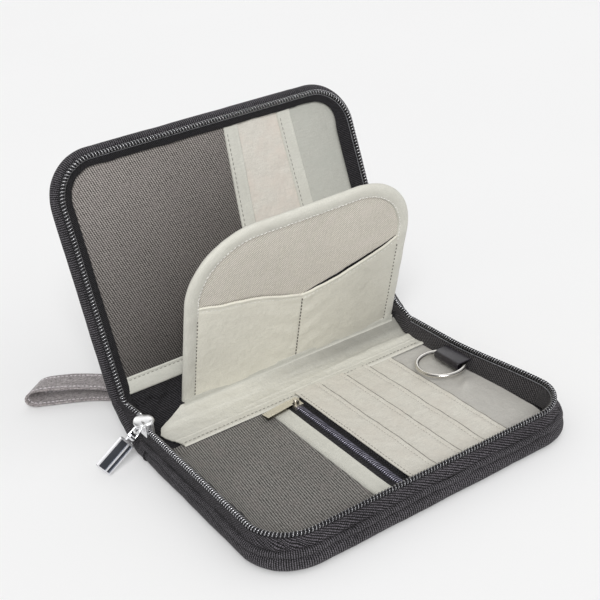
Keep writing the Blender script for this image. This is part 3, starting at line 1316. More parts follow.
def end_web(name, sign, low_start, low_end, top, motion, seed, material, bulge=0.9,
            wrinkle=0.3, top_inset=-1.2, top_drop=0.3, flush=None):
    """Cloth closing an end of a fold between a straight foot and a zip tail.
    flush is the end, 0 or 1, where it lies even with the leaf's lining."""
    share = np.linspace(0, 1, 34)
    rise = np.linspace(0, 1, 16)
    top = top[np.round(share * (len(top) - 1)).astype(int)].copy()
    top[:, 0] -= sign * top_inset
    top[:, 2] -= top_drop
    low = mix(low_start, low_end, share[:, None])
    front = mix(low[:, None], top[:, None], rise[None, :, None])
    along, up = np.meshgrid(share, rise, indexing="ij")
    belly = np.sin(up * pi) ** 0.8
    out = (bulge * belly * (0.6 + 0.4 * ripple(along * 30, up * 14, seed, 18))
           + wrinkle * belly * ripple(along * 34 + up * 9, up * 10, seed + 1, 7))
    if flush is not None:
        free = ease(np.abs(along - flush) / 0.35)
        out = out * free + 1.1 * (1 - free)
    front[..., 0] += sign * out
    back = front.copy()
    back[..., 0] -= sign * 0.8
    attach(shell(name, front, back, share * 26, rise * 12, material, sharp=70), motion)


def zip_tail(name, corners, motion):
    """A coil that runs on over a fold and tucks in; returns its path."""
    path, _ = resample(corners, 400)
    for _ in range(40):
        path[1:-1] = (path[:-2] + path[2:]) / 2 * 0.5 + path[1:-1] * 0.5
    path, run = resample(path, 500)
    tangent = unit(np.gradient(path, axis=0))
    lean = np.array([0.0, -0.45, 0.9])
    up = unit(lean - tangent * (tangent @ lean)[:, None])
    out = np.cross(tangent, up)
    attach(coil(name, lambda at: [follow(at, run, part) for part in (path, out, up)],
                run[-1], out_radius=1.15, up_radius=1.10, material=COIL), motion)
    few = slice(None, None, 12)
    rings = cord(path[few], out[few], up[few], 0.90, 0.90)
    attach(tube(name + "_core", rings, run[few], np.linspace(0, 4.5, 9), BLACK), motion)
    return path


def fold_end(side, sign):
    """Zip tails, outer webs and inner linings at one end of the spine."""
    def inset_x(inset):
        return sign * (HALF_W - inset)

    sink = SINK if sign > 0 else 0.0
    start_y = FOLD_Y - ROLL_BACK
    tuck = spine(inset_x(9.2), SPINE_MID + 0.5, 11.6)
    base_tail = zip_tail("base_zip_tail_" + side, [
        points(inset_x(COIL_INSET + sink), start_y, BASE_COIL_Z - sink),
        points(inset_x(COIL_INSET + 0.3 + sink), start_y + 3, BASE_COIL_Z + 0.3 - sink),
        points(inset_x(COIL_INSET + 1.6 + 0.6 * sink), FOLD_Y + 0.5,
               BASE_COIL_Z + 1.2 - 0.7 * sink),
        tuck], BASE_FOLD)
    lid_tail = zip_tail("lid_zip_tail_" + side, [
        tuck,
        lid(inset_x(COIL_INSET + 1.5), 0.5, 10.6),
        lid(inset_x(COIL_INSET + 0.3), ROLL_BACK - 3, 10.6),
        lid(inset_x(COIL_INSET), ROLL_BACK, LID_COIL_Z)], LID_FOLD)
    outer_foot = spine(inset_x(3.2), SPINE_MID, 2.6)
    inner_foot = spine(inset_x(10.6), SPINE_MID, 2.0)
    end_web("end_web_base_" + side, sign, points(inset_x(3.2), start_y, 7.0), outer_foot,
            base_tail, BASE_FOLD, 260 + sign, GUSSET)
    end_web("end_web_lid_" + side, sign, outer_foot, lid(inset_x(3.4), ROLL_BACK, 5.2),
            lid_tail, LID_FOLD, 270 + sign, GUSSET)
    inner = dict(material=BLACK if sign < 0 else CHARCOAL, bulge=-1.0, wrinkle=0.6,
                 top_inset=1.2, top_drop=0.5)
    end_web("end_lining_base_" + side, sign,
            points(inset_x(10.2 + 1.1 * sink), start_y - 2.0, 5.6), inner_foot, base_tail,
            BASE_FOLD, 280 + sign, flush=0, **inner)
    end_web("end_lining_lid_" + side, sign, inner_foot,
            lid(inset_x(11.5), ROLL_BACK + 1.5, 6.2), lid_tail, LID_FOLD, 290 + sign,
            flush=1, **inner)


SIDES = (("left", -1), ("right", 1))
spine_cloths()
for side, sign in SIDES:
    fold_roll("base_fold_roll_" + side, sign, ROLL_BASE, [3.9, 3.9, 3.7, 3.5, 3.5], BASE_FOLD,
              ("spine_end_rolls",) if sign < 0 else (), 240 + sign)
    fold_roll("lid_fold_roll_" + side, sign, ROLL_LID, [3.5, 3.5, 3.4, 3.4, 3.4], LID_FOLD,
              (), 250 + sign)
for side, sign in SIDES:
    fold_end(side, sign)

# ================================================================ LID
LID_TAPE_SECTION = [(3.9, 6.2), (4.3, 7.6), (4.75, 9.4), (5.1, 9.9), (5.7, 9.9), (6.0, 9.2),
                    (5.6, 7.4), (5.4, 6.0)]     # (inset, height)


def lid_edges():
    edge_roll("lid_roll", lid, "lid", "lid_edge_roll", (3.5, 3.6), radius=3.5, step=1.6,
              seed=311, lump=0.03, wander=0.10)
    strip("lid_tape", lid, "lid", "lid_zip_tape", LID_TAPE_SECTION, step=2.0,
          material=BLACK, seed=321, amount=0.10)
    main_coil("lid", lid, LID_COIL_Z, LID_COIL)
    wall_lining("lid_side_lining", lid, "lid", ("lid_wall_lining",), top=(6.2, 9.4),
                foot_left=(12.0, 7.3), foot_far=(11.2, 7.6), foot_right=(15.2, 7.2),
                seed=331, wavy=0.28, waves=(48, 17), bulge=0.5, back=6.3, thick=0.6)
    tape_edge("lid_tape_edge", lid, "lid", inset=6.9, height=9.55, radius=0.28)
    leaf_panel("lid", lid, inset=6.2, top=4.5, crown=0.8, seed=340)


LID_INSET = 11.0
LID_HALF = HALF_W - LID_INSET
LID_POCKET_Y = 14.2             # the pockets start this far from the hinge
LID_FLOOR = 4.9
LEFT_TAPE_W = 9.8
PASSPORT = node_points("lid_passport_pocket")
PASSPORT_Y = distance_up(PASSPORT, LID_ORIGIN, LID_TILT)
SLANT_LOW_Y, SLANT_HIGH_Y = PASSPORT_Y.min(), PASSPORT_Y.max()
SLANT_LOW_X = PASSPORT[PASSPORT_Y < SLANT_LOW_Y + 1.0][:, 0].max()
SLANT_HIGH_X = PASSPORT[PASSPORT_Y > SLANT_HIGH_Y - 1.0][:, 0].max()
RIGHT_TAPE_LOW = box("lid_binding_2")[0][0] - 0.2
RIGHT_TAPE_HIGH = box("lid_binding_2")[1][0] + 0.2


def lid_top(x):
    return DEPTH - CORNER + corner_reach(x, CORNER_X, CORNER - LID_INSET)


def slant(y):
    """x of the passport pocket's slanted right edge."""
    share = (y - SLANT_LOW_Y) / (SLANT_HIGH_Y - SLANT_LOW_Y)
    return SLANT_LOW_X + (SLANT_HIGH_X - SLANT_LOW_X) * share


def slant_right(y):
    """x of the right edge of the slanted tape."""
    return slant(y) + LEFT_TAPE_W


def straight(x):
    return lambda y: x + 0 * y


def lid_rise(x, y, amount):
    edge = np.minimum(LID_HALF - np.abs(x), lid_top(x) - y)
    return amount * bell(np.maximum(edge, 0), 0, 4.0, 1.5)


def lid_piece(name, shares, left, right, height, thick, material, node):
    """A cloth on the lid with columns at shares of the way from line left to right."""
    rows = np.concatenate([[0, 0.003, 0.008], np.linspace(0.02, 0.98, 44),
                           [0.992, 0.997, 1.0]])
    middle_y = 70.0
    middle_x = left(middle_y) + shares * (right(middle_y) - left(middle_y))
    y = LID_POCKET_Y + (lid_top(middle_x) - LID_POCKET_Y)[:, None] * rows
    x = left(y) + shares[:, None] * (right(y) - left(y))
    z = height(x, y)
    attach(shell(name, lid(x, y, z), lid(x, y, z - thick), x, y, material), "lid", node)


def passport_height(x, y):
    return (LID_FLOOR + 0.9 + lid_rise(x, y, 0.35)
            + 1.1 * bell(x, -45, 34) * bell(y, 70, 48) - 0.5 * bell(slant(y) - x, 0, 6.0)
            + 0.30 * ripple(x, y, 351, 55) + 0.07 * ripple(x, y, 352, 16))


def left_tape_height(x, y):
    return (tape_profile(x, slant(y), slant_right(y), LID_FLOOR + 1.7, crown=0.22)
            + lid_rise(x, y, 0.15) + 0.15 * wobble(y, 361, 50))


def right_tape_height(x, y):
    return (tape_profile(x, RIGHT_TAPE_LOW, RIGHT_TAPE_HIGH, LID_FLOOR + 1.65, crown=0.22)
            + lid_rise(x, y, 0.15) + 0.15 * wobble(y, 362, 50))


def middle_pocket_height(x, y):
    middle = (slant_right(y) + RIGHT_TAPE_LOW) / 2
    swell = 0.7 * bell(x, middle, 11) * (0.6 + 0.4 * wobble(y, 371, 60))
    return LID_FLOOR + 0.8 + lid_rise(x, y, 0.3) + swell + 0.22 * ripple(x, y, 372, 34)


def right_pocket_height(x, y):
    swell = 0.8 * bell(x, 76, 10) * bell(y, 75, 50)
    return LID_FLOOR + 0.8 + lid_rise(x, y, 0.3) + swell + 0.2 * ripple(x, y, 381, 38)


def band_height(x, y):
    return (LID_FLOOR + 1.55 + 0.25 * bell(y, 14.2, 0.5)    # rolled outer edge
            - 0.2 * bell(y, 12.8, 0.35)                     # sewn line
            + 0.35 * arch((y - 5) / 8)
            + 0.14 * ripple(x, y * 2, 391, 36)
            - 0.5 * bell(y, 4.6, 0.3) - 0.4 * bell(y, 14.9, 0.2))


def lid_pockets():
    shares = np.concatenate([spread(0, 0.22, 12, 0.006), np.linspace(0.25, 0.94, 22),
                             [0.965, 0.98, 0.992, 1.0]])
    lid_piece("lid_twill_pocket", shares, straight(-LID_HALF), lambda y: slant(y) + 0.6,
              passport_height, 0.9, LID_TWILL, "lid_passport_pocket")
    tape_shares = tape_columns(0.0, 10.0, 7) / 10.0
    lid_piece("lid_binding_left", tape_shares, slant, slant_right, left_tape_height, 1.1,
              TAPE, "lid_binding_1")
    lid_piece("lid_rose_pocket", spread(0, 1, 18, 0.02), lambda y: slant_right(y) - 1.2,
              straight(RIGHT_TAPE_LOW + 0.8), middle_pocket_height, 0.7, LID_SATIN,
              "lid_pocket_2")
    lid_piece("lid_binding_right", tape_shares, straight(RIGHT_TAPE_LOW),
              straight(RIGHT_TAPE_HIGH), right_tape_height, 1.1, TAPE, "lid_binding_2")
    shares = np.concatenate([[0, 0.02, 0.05], np.linspace(0.1, 0.5, 8),
                             spread(0.55, 1.0, 14, 0.012)])
    lid_piece("lid_grey_pocket", shares, straight(RIGHT_TAPE_HIGH - 1.0),
              straight(LID_HALF), right_pocket_height, 0.7, LID_COOL_SATIN, "lid_pocket_3")
    threads = Threads()
    sewn = dict(normal=up_from(lid), pitch=2.9, length=2.1, radius=0.21)
    y = np.linspace(LID_POCKET_Y + 2, lid_top(10.0) - 2, 110)
    for left, height in ((slant, left_tape_height),
                         (straight(RIGHT_TAPE_LOW), right_tape_height)):
        x = left(y) + 1.7
        threads.stitches(lid(x, y, height(x, y)), rise=0.05, **sewn)
    # light band along the hinge side
    ys = np.concatenate([[4.6, 4.7, 5.0, 5.5], np.linspace(6.4, 12.2, 7),
                         [13.0, 13.5, 14.0, 14.4, 14.75, 14.9]])
    x, y = np.meshgrid(columns(-LID_HALF, LID_HALF, 10, 6, 4, 30), ys, indexing="ij")
    z = band_height(x, y)
    attach(shell("lid_hinge_band", lid(x, y, z), lid(x, y, z - 1.2), x, y, TAPE), "lid",
           "lid_bottom_band")
    x = np.linspace(-LID_HALF + 2, LID_HALF - 2, 120)
    threads.stitches(lid(x, 12.8, band_height(x, 12.8)), rise=0.08, **sewn)
    threads.finish("lid_stitches", THREAD_MID, "lid")


lid_edges()
lid_pockets()

# ================================================================ CENTRE PAGE
PAGE_OUTLINE = node_points("page_binding")
PAGE_LEFT, PAGE_RIGHT = PAGE_OUTLINE[:, 0].min(), PAGE_OUTLINE[:, 0].max()
PAGE_MID, PAGE_W = (PAGE_LEFT + PAGE_RIGHT) / 2, PAGE_RIGHT - PAGE_LEFT
PAGE_TOP = distance_up(PAGE_OUTLINE, PAGE_FOOT_AT, PAGE_TILT).max()
PAGE_CORNER = 45.0
PAGE_TAPE_W = 8.5
PAGE_LOW = 3.6                  # the page starts this far from its foot
PAGE = Rail(PAGE_W / 2, PAGE_TOP, PAGE_CORNER, PAGE_MID)
SEAM = (box("page_pocket_left")[1][0] + box("page_pocket_right")[0][0]) / 2
LEFT_POCKET, RIGHT_POCKET = node_points("page_pocket_left"), node_points("page_pocket_right")
LEFT_TOP, RIGHT_TOP, SEAM_TOP = (
    distance_up(part, PAGE_FOOT_AT, PAGE_TILT).max()
    for part in (LEFT_POCKET, RIGHT_POCKET, RIGHT_POCKET[RIGHT_POCKET[:, 0] < SEAM + 1]))
BEND_X, BEND_TOP = -16.0, 69.0  # bend in the left pocket's mouth
# x range of each pocket
LEFT_X = (PAGE_LEFT + PAGE_TAPE_W - 1.0, SEAM + 0.2)
RIGHT_X = (SEAM - 0.2, PAGE_RIGHT - PAGE_TAPE_W + 1.0)

# (inset, height) across the page binding
PAGE_BINDING_SECTION = np.array([
    (8.7, 1.0), (8.5, 1.65), (7.9, 2.0), (6.2, 2.35), (4.2, 2.5), (2.2, 2.25), (0.9, 1.6),
    (0.15, 0.7), (0.0, 0.0), (0.15, -0.7), (0.9, -1.6), (2.2, -2.2), (4.2, -2.4), (6.2, -2.2),
    (7.9, -1.9), (8.5, -1.6), (8.7, -1.0)])


def page_wave(x, y):
    """The soft page leans and curls a little as a whole."""
    curl = 0.9 * np.sin((x - PAGE_LEFT) / PAGE_W * pi * 1.2 + 0.5)
    return (curl - 0.4) * (y / PAGE_TOP) ** 2


def page_binding():
    inset, height = PAGE_BINDING_SECTION.T[:, None]
    run, rail = PAGE.sample(1.8, PAGE_LOW)
    x, y, out_x, out_y = (part[:, None] for part in rail)
    along = run[:, None]
    wavy_inset = inset + 0.18 * ripple(along, height * 4, 401, 26) * (inset > 5)
    wavy = height * (1 + 0.10 * ripple(along, inset * 1.5, 402, 18))
    # small pulls in the tape round the corners
    corner = PAGE_TOP - PAGE_CORNER - PAGE_LOW + 35
    pulls = bell(along, corner, 22) + bell(along, run[-1] - corner, 22)
    wavy = wavy + (0.16 * np.sin(along * 1.9) * pulls * np.sign(height)
                   * bell(inset, 6.5, 2.0))
    x = x - wavy_inset * out_x
    y = y - wavy_inset * out_y
    rings = page(x, y, wavy + page_wave(x, y))
    attach(tube("page_edge_binding", rings, run, perimeter(inset[0], height[0]), PAGE_TAPE),
           "page", "page_binding")


def page_panel(name, xs, low, high, height, thick, material, nodes=(), rows=None):
    """A cloth on the page between y values low and high."""
    rows = spread(0, 1, 40, 0.006) if rows is None else rows
    low = (low + 0 * xs)[:, None]
    x = np.repeat(xs[:, None], len(rows), 1)
    y = low + (high[:, None] - low) * rows
    z = height(x, y)
    attach(shell(name, page(x, y, z), page(x, y, z - thick), x, y, material), "page", *nodes)


def face_height(x, y):
    return (1.15 + page_wave(x, y) + 0.10 * ripple(x, y, 411, 50)
            + 0.35 * bell(x, 15, 38) * bell(y, 92, 22))


def page_faces():
    inset = 7.2
    xs = columns(PAGE_LEFT + inset, PAGE_RIGHT - inset, margin=20 - inset, side_count=10,
                 gap=4, middle_count=28)
    top = PAGE_TOP - PAGE_CORNER + corner_reach(xs - PAGE_MID, PAGE_W / 2 - PAGE_CORNER,
                                                PAGE_CORNER - inset)
    page_panel("page_front", xs, PAGE_LOW, top, face_height, 1.1, PAGE_CLOTH,
               ("page_front_cloth", "page_board"))
    page_panel("page_back", xs, PAGE_LOW, top, lambda x, y: page_wave(x, y) + 0.02, 1.25,
               PAGE_CLOTH, ("page_back_cloth",))


def left_mouth(x):
    top = np.interp(x, [PAGE_LEFT + PAGE_TAPE_W, BEND_X, SEAM], [LEFT_TOP, BEND_TOP, SEAM_TOP])
    return top + 0.35 * wobble(x, 421, 24)


def right_mouth(x):
    end = PAGE_RIGHT - PAGE_TAPE_W
    top = np.interp(x, [SEAM, end], [SEAM_TOP, RIGHT_TOP])
    return top - 1.2 * arch((x - SEAM) / (end - SEAM)) + 0.35 * wobble(x, 422, 24)


def pocket_front(limits, mouth, seed, gape):
    low, high = limits

    def height(x, y):
        below = mouth(x) - y
        z = 2.05 + page_wave(x, y) + 0.14 * ripple(x, y, seed, 40)
        opening = 0.5 + gape * bell(np.maximum(below, 0), 0, 26.0, 1.3)
        z = z + arch((x - low) / (high - low)) ** 0.8 * opening
        # rolled hem, its sewn line and the drop at the very edge
        z = z + 0.28 * bell(below, 0.7, 0.7) - 0.18 * bell(below, 3.1, 0.4)
        z = z - 0.5 * bell(np.maximum(below, 0), 0, 0.2)
        # puckers along the sewn sides
        edge = np.minimum(x - low, high - x)
        pucker = np.sin(y * 1.25 + 1.5 * wobble(y, seed + 3, 30) + x * 0.25)
        z = z + 0.20 * pucker * bell(edge, 2.6, 2.6)
        # shallow pulls running off the middle seam
        off = np.abs(x - SEAM)
        pull = np.sin((y - 0.55 * off) * 0.42 + seed)
        return z + 0.28 * pull * bell(off, 0, 20.0) * np.clip(off / 4, 0, 1)
    return height


left_front = pocket_front(LEFT_X, left_mouth, seed=431, gape=0.8)
right_front = pocket_front(RIGHT_X, right_mouth, seed=432, gape=1.25)


def page_pockets():
    rows = np.concatenate([[0, 0.004, 0.012], np.linspace(0.03, 0.88, 26),
                           [0.91, 0.93, 0.945, 0.955, 0.964, 0.972, 0.980, 0.988, 0.994,
                            0.998, 1.0]])
    for side, limits, mouth, height in (("left", LEFT_X, left_mouth, left_front),
                                        ("right", RIGHT_X, right_mouth, right_front)):
        xs = spread(*limits, 34, 0.5)
        page_panel("page_pocket_%s_cloth" % side, xs, 3.9, mouth(xs), height, 0.6,
                   PAGE_SATIN, ("page_pocket_" + side,), rows)
    # dark lining just inside the wide right mouth
    low, high = RIGHT_X
    xs = spread(low + 1.5, high - 1.5, 34, 0.5)
    top = (right_mouth(xs) + 0.02 + 0.24 * arch((xs - low) / (high - low)) ** 0.7
           + 0.12 * wobble(xs, 434, 14))
    page_panel("page_pocket_right_back", xs, right_mouth(xs) - 9.0, top,
               lambda x, y: face_height(x, y) + 0.22, 0.22, BLACK, rows=np.linspace(0, 1, 8))


def page_stitches():
    light, dark = Threads(), Threads()
    front = up_from(page)
    run = np.linspace(0, PAGE.length(PAGE_LOW), 420)
    x, y, out_x, out_y = PAGE.at(run, PAGE_LOW)
    x = x - 7.6 * out_x
    y = y - 7.6 * out_y
    line = page(x, y, 2.0 + page_wave(x, y))
    upper = y > 70
    start, end = np.argmax(upper), len(upper) - np.argmax(upper[::-1])
    light.stitches(line[start:end], front, pitch=2.5, length=2.1, radius=0.32, rise=0.10,
                   zig=0.30)
    for part in (line[:start], line[end:]):
        dark.stitches(part, front, pitch=2.8, length=1.8, radius=0.34, rise=0.08)
    light.stitches(page(x, y, -1.95 + page_wave(x, y)), -front, pitch=2.8, length=2.1,
                   radius=0.24, rise=0.05)
    # pocket hems
    for low, high, mouth, height in (
            (LEFT_X[0] + 2, LEFT_X[1] - 1, left_mouth, left_front),
            (RIGHT_X[0] + 1, RIGHT_X[1] - 2, right_mouth, right_front)):
        x = np.linspace(low, high, 100)
        y = mouth(x) - 3.1
        light.stitches(page(x, y, height(x, y)), front, pitch=2.7, length=1.9, radius=0.19,
                       rise=0.05)
    # middle seam
    y = np.linspace(6, SEAM_TOP - 1, 60)
    dark.stitches(page(SEAM, y, np.maximum(left_front(SEAM, y), right_front(SEAM, y))),
                  front, pitch=2.7, length=2.0, radius=0.42, rise=0.16)
    light.finish("page_stitches_light", THREAD_LIGHT, "page")
    dark.finish("page_stitches_dark", THREAD_DARK, "page")


# Sections of the cloths joining the page to the spine: (place, y, z)
FOOT_FRONT = [(spine, SPINE_MID - 3.4, 2.2), (spine, SPINE_MID - 2.2, 2.9), (page, 3.0, 2.6),
              (page, 5.0, 2.6), (page, 6.4, 2.3)]
FOOT_BACK = [(page, 7.0, -1.7), (page, 4.0, -2.2), (page, 2.4, -2.6),
             (spine, SPINE_MID + 2.6, 2.0), (spine, SPINE_MID + 5.0, 1.6)]


def page_foot():
    xs = columns(PAGE_LEFT + 0.6, PAGE_RIGHT - 0.6, margin=9.4, side_count=5, gap=3,
                 middle_count=26)
    for side, stations, material, seed in (("front", FOOT_FRONT, TAPE, 441),
                                           ("back", FOOT_BACK, BLACK, 442)):
        cross_cloth("page_foot_" + side, stations, xs, 0.6, material, PAGE_FOLD, (), seed,
                    wrinkle=0.15, scale=26, rows=16)


page_binding()
page_faces()
page_pockets()
page_stitches()
page_foot()

# ================================================================ WRIST STRAP
STRAP_AT = joint_at("wrist_strap_swing")
STRAP_OFFSETS = node_points("wrist_strap")[:, :2] - STRAP_AT[:2]
STRAP_REACH = np.linalg.norm(STRAP_OFFSETS, axis=1)
STRAP_DIR = unit(STRAP_OFFSETS[STRAP_REACH > STRAP_REACH.max() - 3].mean(0))
STRAP_SIDE = np.array([-STRAP_DIR[1], STRAP_DIR[0]])
STRAP_LEN = (STRAP_OFFSETS @ STRAP_DIR).max()
STRAP_HALF_W = np.ptp(STRAP_OFFSETS @ STRAP_SIDE) / 2
STRAP_BOW = -1.0 if STRAP_SIDE[1] < 0 else 1.0
STRAP_THICK = 1.15

# (distance along, height) of the flat loop, out along the floor and back on top
STRAP_LINE = [
    (1.5, 1.0), (30, 0.95), (60, 0.9), (STRAP_LEN - 12, 0.95), (STRAP_LEN - 4.5, 1.4),
    (STRAP_LEN - 0.9, 4.0), (STRAP_LEN - 0.7, 8.0), (STRAP_LEN - 3.6, 11.0),
    (STRAP_LEN - 10, 11.8), (70, 10.4), (45, 7.4), (25, 4.4), (10, 2.9), (1.5, 2.6)]
# one half of the section, (share of half width, share of thickness)
STRAP_SECTION_HALF = np.array([
    (-1, 0.0), (-0.975, 0.42), (-0.9, 0.5), (-0.80, 0.47), (-0.72, 0.40), (-0.5, 0.46),
    (0, 0.5), (0.5, 0.46), (0.72, 0.40), (0.80, 0.47), (0.9, 0.5), (0.975, 0.42)])


def strap(along, across, z):
    """Place on the strap, which bows to the back between root and tip."""
    share = np.clip(along / STRAP_LEN, 0, 1)
    across = across + STRAP_BOW * (13.0 * np.sin(share ** 0.8 * pi) - 5.0 * share ** 3)
    x, y = (STRAP_AT[k] + along * STRAP_DIR[k] + across * STRAP_SIDE[k] for k in (0, 1))
    return points(x, y, z)


def wrist_strap():
    line, run, normal = smooth_line(STRAP_LINE, 110)
    wide, tall = np.concatenate([STRAP_SECTION_HALF, -STRAP_SECTION_HALF]).T
    twist = 0.5 * wobble(run, 451, 60) * np.clip(np.minimum(run, run[-1] - run) / 20, 0, 1)
    off = tall * STRAP_THICK + twist[:, None] * wide * 0.5
    rings = strap(line[:, :1] + normal[:, :1] * off, wide * STRAP_HALF_W,
                  line[:, 1:] + normal[:, 1:] * off)
    rings[..., 2] = np.maximum(rings[..., 2], 0.25)
    around_uv = perimeter(wide * STRAP_HALF_W, tall * STRAP_THICK)
    attach(tube("wrist_strap_loop", rings, run, around_uv, STRAP), "wrist_loop",
           "wrist_strap")
    threads = Threads()
    inner = slice(4, -4)
    for edge in (-1, 1):
        for face in (-1, 1):
            off = 0.44 * STRAP_THICK * face
            sewn = strap(line[:, 0] + normal[:, 0] * off, edge * 0.72 * STRAP_HALF_W,
                         line[:, 1] + normal[:, 1] * off)
            outward = strap(normal[:, 0] * face, 0, normal[:, 1] * face) - strap(0, 0, 0)
            threads.stitches(sewn[inner], outward[inner], pitch=2.6, length=2.1,
                             radius=0.28, rise=0.02)
    threads.finish("wrist_strap_stitches", THREAD_STRAP, "wrist_loop")


def strap_end():
    """The strap's sewn-in end; its rounded end stays under the root of the loop, so the
    swinging strap never leaves it."""
    low, high = box("strap_anchor")
    x, y = np.meshgrid(tape_columns(low[0], high[0], 6),
                       spread(low[1] - 1, STRAP_AT[1] + 5.0, 24), indexing="ij")
    rounding = np.sqrt(1 - (np.clip(y - STRAP_AT[1] + 2.0, 0, 8.0) / 8.4) ** 2)
    x = STRAP_AT[0] + (x - STRAP_AT[0]) * rounding
    edge = np.minimum(x - low[0], high[0] - x)
    z = 1.35 + 0.06 * ripple(x, y, 461, 10) - 0.4 * bell(edge, 0, 0.3)
    attach(shell("strap_end", points(x, y, z), points(x, y, 0.2), y, x, STRAP), "base",
           "strap_anchor")


# ================================================================ KEY LOOP
# (share of half width, share of thickness) round the key loop band
KEY_SECTION = np.array([
    (-1, 0), (-0.985, 0.36), (-0.94, 0.5), (-0.82, 0.47), (-0.76, 0.42), (0, 0.5),
    (0.76, 0.42), (0.82, 0.47), (0.94, 0.5), (0.985, 0.36), (1, 0), (0.985, -0.36),
    (0.94, -0.5), (0, -0.5), (-0.94, -0.5), (-0.985, -0.36)])


def key_loop():
    """Leather band folded round the key ring, its bend to the left."""
    low, high = box("key_strap")
    left, right = low[0], high[0]
    mid_z = joint_at("key_ring_turn")[2]
    half_w, thick = (high[1] - low[1]) / 2, 1.1
    path = [(right - 0.2, mid_z + 2.3), (right - 3, mid_z + 2.35), (left + 3.6, mid_z + 2.35),
            (left + 1.3, mid_z + 2.1), (left + 0.55, mid_z + 0.9), (left + 0.55, mid_z - 0.9),
            (left + 1.3, mid_z - 2.1), (left + 3.6, mid_z - 2.35), (right - 5, mid_z - 2.35),
            (right - 2.6, mid_z - 2.3)]     # (x, z)
    line, run, normal = smooth_line(path, 44)
    wide, tall = KEY_SECTION.T
    narrow = 1 - 0.06 * ease((left + 6 - line[:, :1]) / 6)
    rings = points(line[:, :1] + normal[:, :1] * tall * thick,
                   (low[1] + high[1]) / 2 + wide * half_w * narrow,
                   line[:, 1:] + normal[:, 1:] * tall * thick)
    around_uv = perimeter(wide * half_w, tall * thick)
    attach(tube("key_loop_band", rings, run, around_uv, LEATHER), "key_loop", "key_strap")


wrist_strap()
strap_end()
key_loop()
soft_threads.finish("slot_stitches", THREAD_SOFT, "base")
dark_threads.finish("base_stitches", THREAD_MID, "base")

# ================================================================ METAL PARTS
METAL_FINISHES = {
    "main_slider": [SLIDER_CHROME],
    "main_pull_link": [CHROME],
    "main_pull_tab": [CHROME, PULL_FACE],
    "pocket_zip_slider": [CHAMPAGNE],
    "pocket_zip_pull": [SMALL_PULL],
    "key_ring": [NICKEL],
}
# (share of the outline, height) of the crown's rings from bottom to top
CROWN_LAYERS = np.array([(0.10, -1.0), (0.78, -1.0), (0.95, -0.8), (1.0, -0.3), (0.985, 0.2),
                         (0.90, 0.62), (0.70, 0.92), (0.40, 1.12), (0.08, 1.18)])


def paint_metal():
    for node, materials in METAL_FINISHES.items():
        slots = frame["nodes"][node].data.materials
        slots.clear()
        for material in materials:
            slots.append(material)


def slider_crown():
    """Domed oval plate of the main slider, turned and tipped."""
    angle = around(48)
    cosine, sine = np.cos(angle), np.sin(angle)
    long_side = np.sign(cosine) * np.abs(cosine) ** 0.85 * np.where(cosine > 0, 6.6, 5.6)
    short_side = (np.sign(sine) * np.abs(sine) ** 0.95 * (4.4 - 0.45 * np.clip(cosine, 0, 1))
                  * (1 - 0.10 * bell(angle, 1.45, 0.22)))
    heading, tip = radians(-38), radians(24)
    long_axis = np.array([cos(heading), sin(heading), 0.0])
    level_axis = np.array([-sin(heading), cos(heading), 0.0])
    short_axis = level_axis * cos(tip) + Z_AXIS * sin(tip)
    centre = box("main_slider")[1] - np.array([3.6, 4.6, 0.6])
    outline = long_side[:, None] * long_axis + short_side[:, None] * short_axis
    share, height = CROWN_LAYERS.T[:, :, None, None]
    rings = centre + share * outline + height * 1.05 * np.cross(long_axis, short_axis)
    attach(tube("main_slider_crown", rings, np.arange(len(rings)) * 1.0,
                np.linspace(0, 30, 49), SLIDER_CHROME), "main_zip_slider")


def darken_pull_faces():
    """The recessed faces of the main pull get its second, dark material."""
    swing = unit(np.array(JOINTS["pull_tab_swing"]["axis"], float))
    down = np.array([swing[2], 0, -swing[0]])
    if down[2] > 0:
        down = -down
    normal = np.cross(down, swing)
    knuckle = joint_at("pull_tab_swing")
    for face in frame["nodes"]["main_pull_tab"].data.polygons:
        offset = mm(face.center) - knuckle
        flat = abs(face.normal @ Vector(normal)) > 0.9
        recessed = abs(float(offset @ normal)) < 0.6 and float(offset @ down) > 3.7
        face.material_index = 1 if flat and recessed else 0


def soften_metal():
    for node in ("main_slider", "main_pull_tab", "pocket_zip_slider", "pocket_zip_pull"):
        bevel = frame["nodes"][node].modifiers.new("soft_edges", "BEVEL")
        bevel.width = 0.00018
        bevel.segments = 2
        bevel.limit_method = "ANGLE"
        bevel.angle_limit = radians(40)
    for node in ("key_ring", "main_pull_link"):
        frame["nodes"][node].data.shade_smooth()


paint_metal()
slider_crown()
darken_pull_faces()
soften_metal()


# ================================================================ STAGE (in metres)
def studio_floor():
    half, level = 12.0, -0.0006
    mesh = bpy.data.meshes.new("floor")
    corners = [(-half, -half, level), (half, -half, level), (half, half, level),
               (-half, half, level)]
    mesh.from_pydata(corners, [], [(0, 1, 2, 3)])
    ob = bpy.data.objects.new("floor", mesh)
    SCENE.collection.objects.link(ob)
    m = Shader("floor_paper", rough=0.9, spec=0.1)
    cloud = m.noise(m.object, scale=3.0)
    m.colour(m.ramp(cloud, (0.3, (0.900,) * 3), (0.7, (0.908,) * 3)))
    mesh.materials.append(m.material)


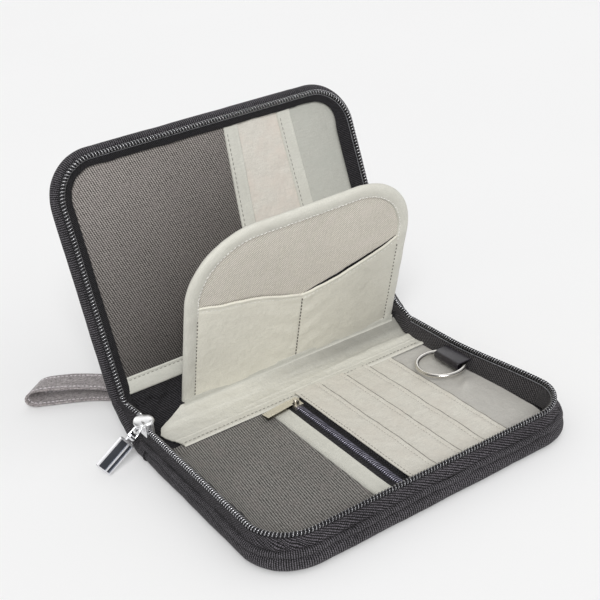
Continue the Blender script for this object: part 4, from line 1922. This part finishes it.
def studio_world():
    world = bpy.data.worlds.new("studio")
    SCENE.world = world
    world.use_nodes = True
    nodes, link = world.node_tree.nodes, world.node_tree.links.new
    nodes.clear()
    out = nodes.new("ShaderNodeOutputWorld")
    background = nodes.new("ShaderNodeBackground")
    coords = nodes.new("ShaderNodeTexCoord")
    split = nodes.new("ShaderNodeSeparateXYZ")
    sky = nodes.new("ShaderNodeValToRGB")
    low, high = sky.color_ramp.elements
    low.position, low.color = 0.0, (0.55, 0.55, 0.56, 1)
    high.position, high.color = 0.75, (1, 1, 1, 1)
    link(coords.outputs["Generated"], split.inputs[0])
    link(split.outputs["Z"], sky.inputs[0])
    # glossy things see a darker room with a bright soft box behind and above
    rays = nodes.new("ShaderNodeLightPath")
    facing = nodes.new("ShaderNodeVectorMath")
    facing.operation = "DOT_PRODUCT"
    facing.inputs[1].default_value = Vector((0.10, 0.70, 0.66)).normalized()
    link(coords.outputs["Generated"], facing.inputs[0])
    room = nodes.new("ShaderNodeValToRGB")
    stops = room.color_ramp.elements
    stops[0].position, stops[0].color = 0.30, (0.20, 0.20, 0.205, 1)
    stops[1].position, stops[1].color = 0.90, (2.5, 2.5, 2.5, 1)
    stops.new(0.65).color = (0.60, 0.60, 0.61, 1)
    link(facing.outputs["Value"], room.inputs[0])
    blend = nodes.new("ShaderNodeMix")
    blend.data_type = "RGBA"
    link(rays.outputs["Is Glossy Ray"], blend.inputs[0])
    link(sky.outputs[0], blend.inputs[6])
    link(room.outputs[0], blend.inputs[7])
    link(blend.outputs[2], background.inputs[0])
    background.inputs[1].default_value = 0.55
    link(background.outputs[0], out.inputs[0])


def sun(name, direction, strength, angle):
    light = bpy.data.lights.new(name, "SUN")
    light.energy = strength
    light.angle = radians(angle)
    ob = bpy.data.objects.new(name, light)
    ob.rotation_mode = "QUATERNION"
    ob.rotation_quaternion = Vector(direction).to_track_quat("-Z", "Y")
    SCENE.collection.objects.link(ob)


def studio_camera():
    camera = bpy.data.cameras.new("camera")
    camera.sensor_width = 36
    camera.lens = 67.88436
    camera.clip_start, camera.clip_end = 0.01, 50
    ob = bpy.data.objects.new("camera", camera)
    right = (0.82895115, -0.55222598, -0.08880572)
    up = (0.32045145, 0.33877392, 0.88461466)
    backward = (-0.45842214, -0.76176026, 0.45778865)
    pose = Matrix((right, up, backward)).transposed().to_4x4()
    pose.translation = Vector((-0.298114028, -0.447477438, 0.370988555))
    ob.matrix_world = pose
    SCENE.collection.objects.link(ob)
    SCENE.camera = ob
    SCENE.view_settings.view_transform = "Standard"
    SCENE.view_settings.look = "None"


studio_floor()
studio_world()
sun("key", direction=(0.42, 0.76, -0.72), strength=2.05, angle=26)
sun("fill", direction=(-0.5, 0.3, -0.9), strength=0.35, angle=80)
studio_camera()

bpy.context.view_layer.update()
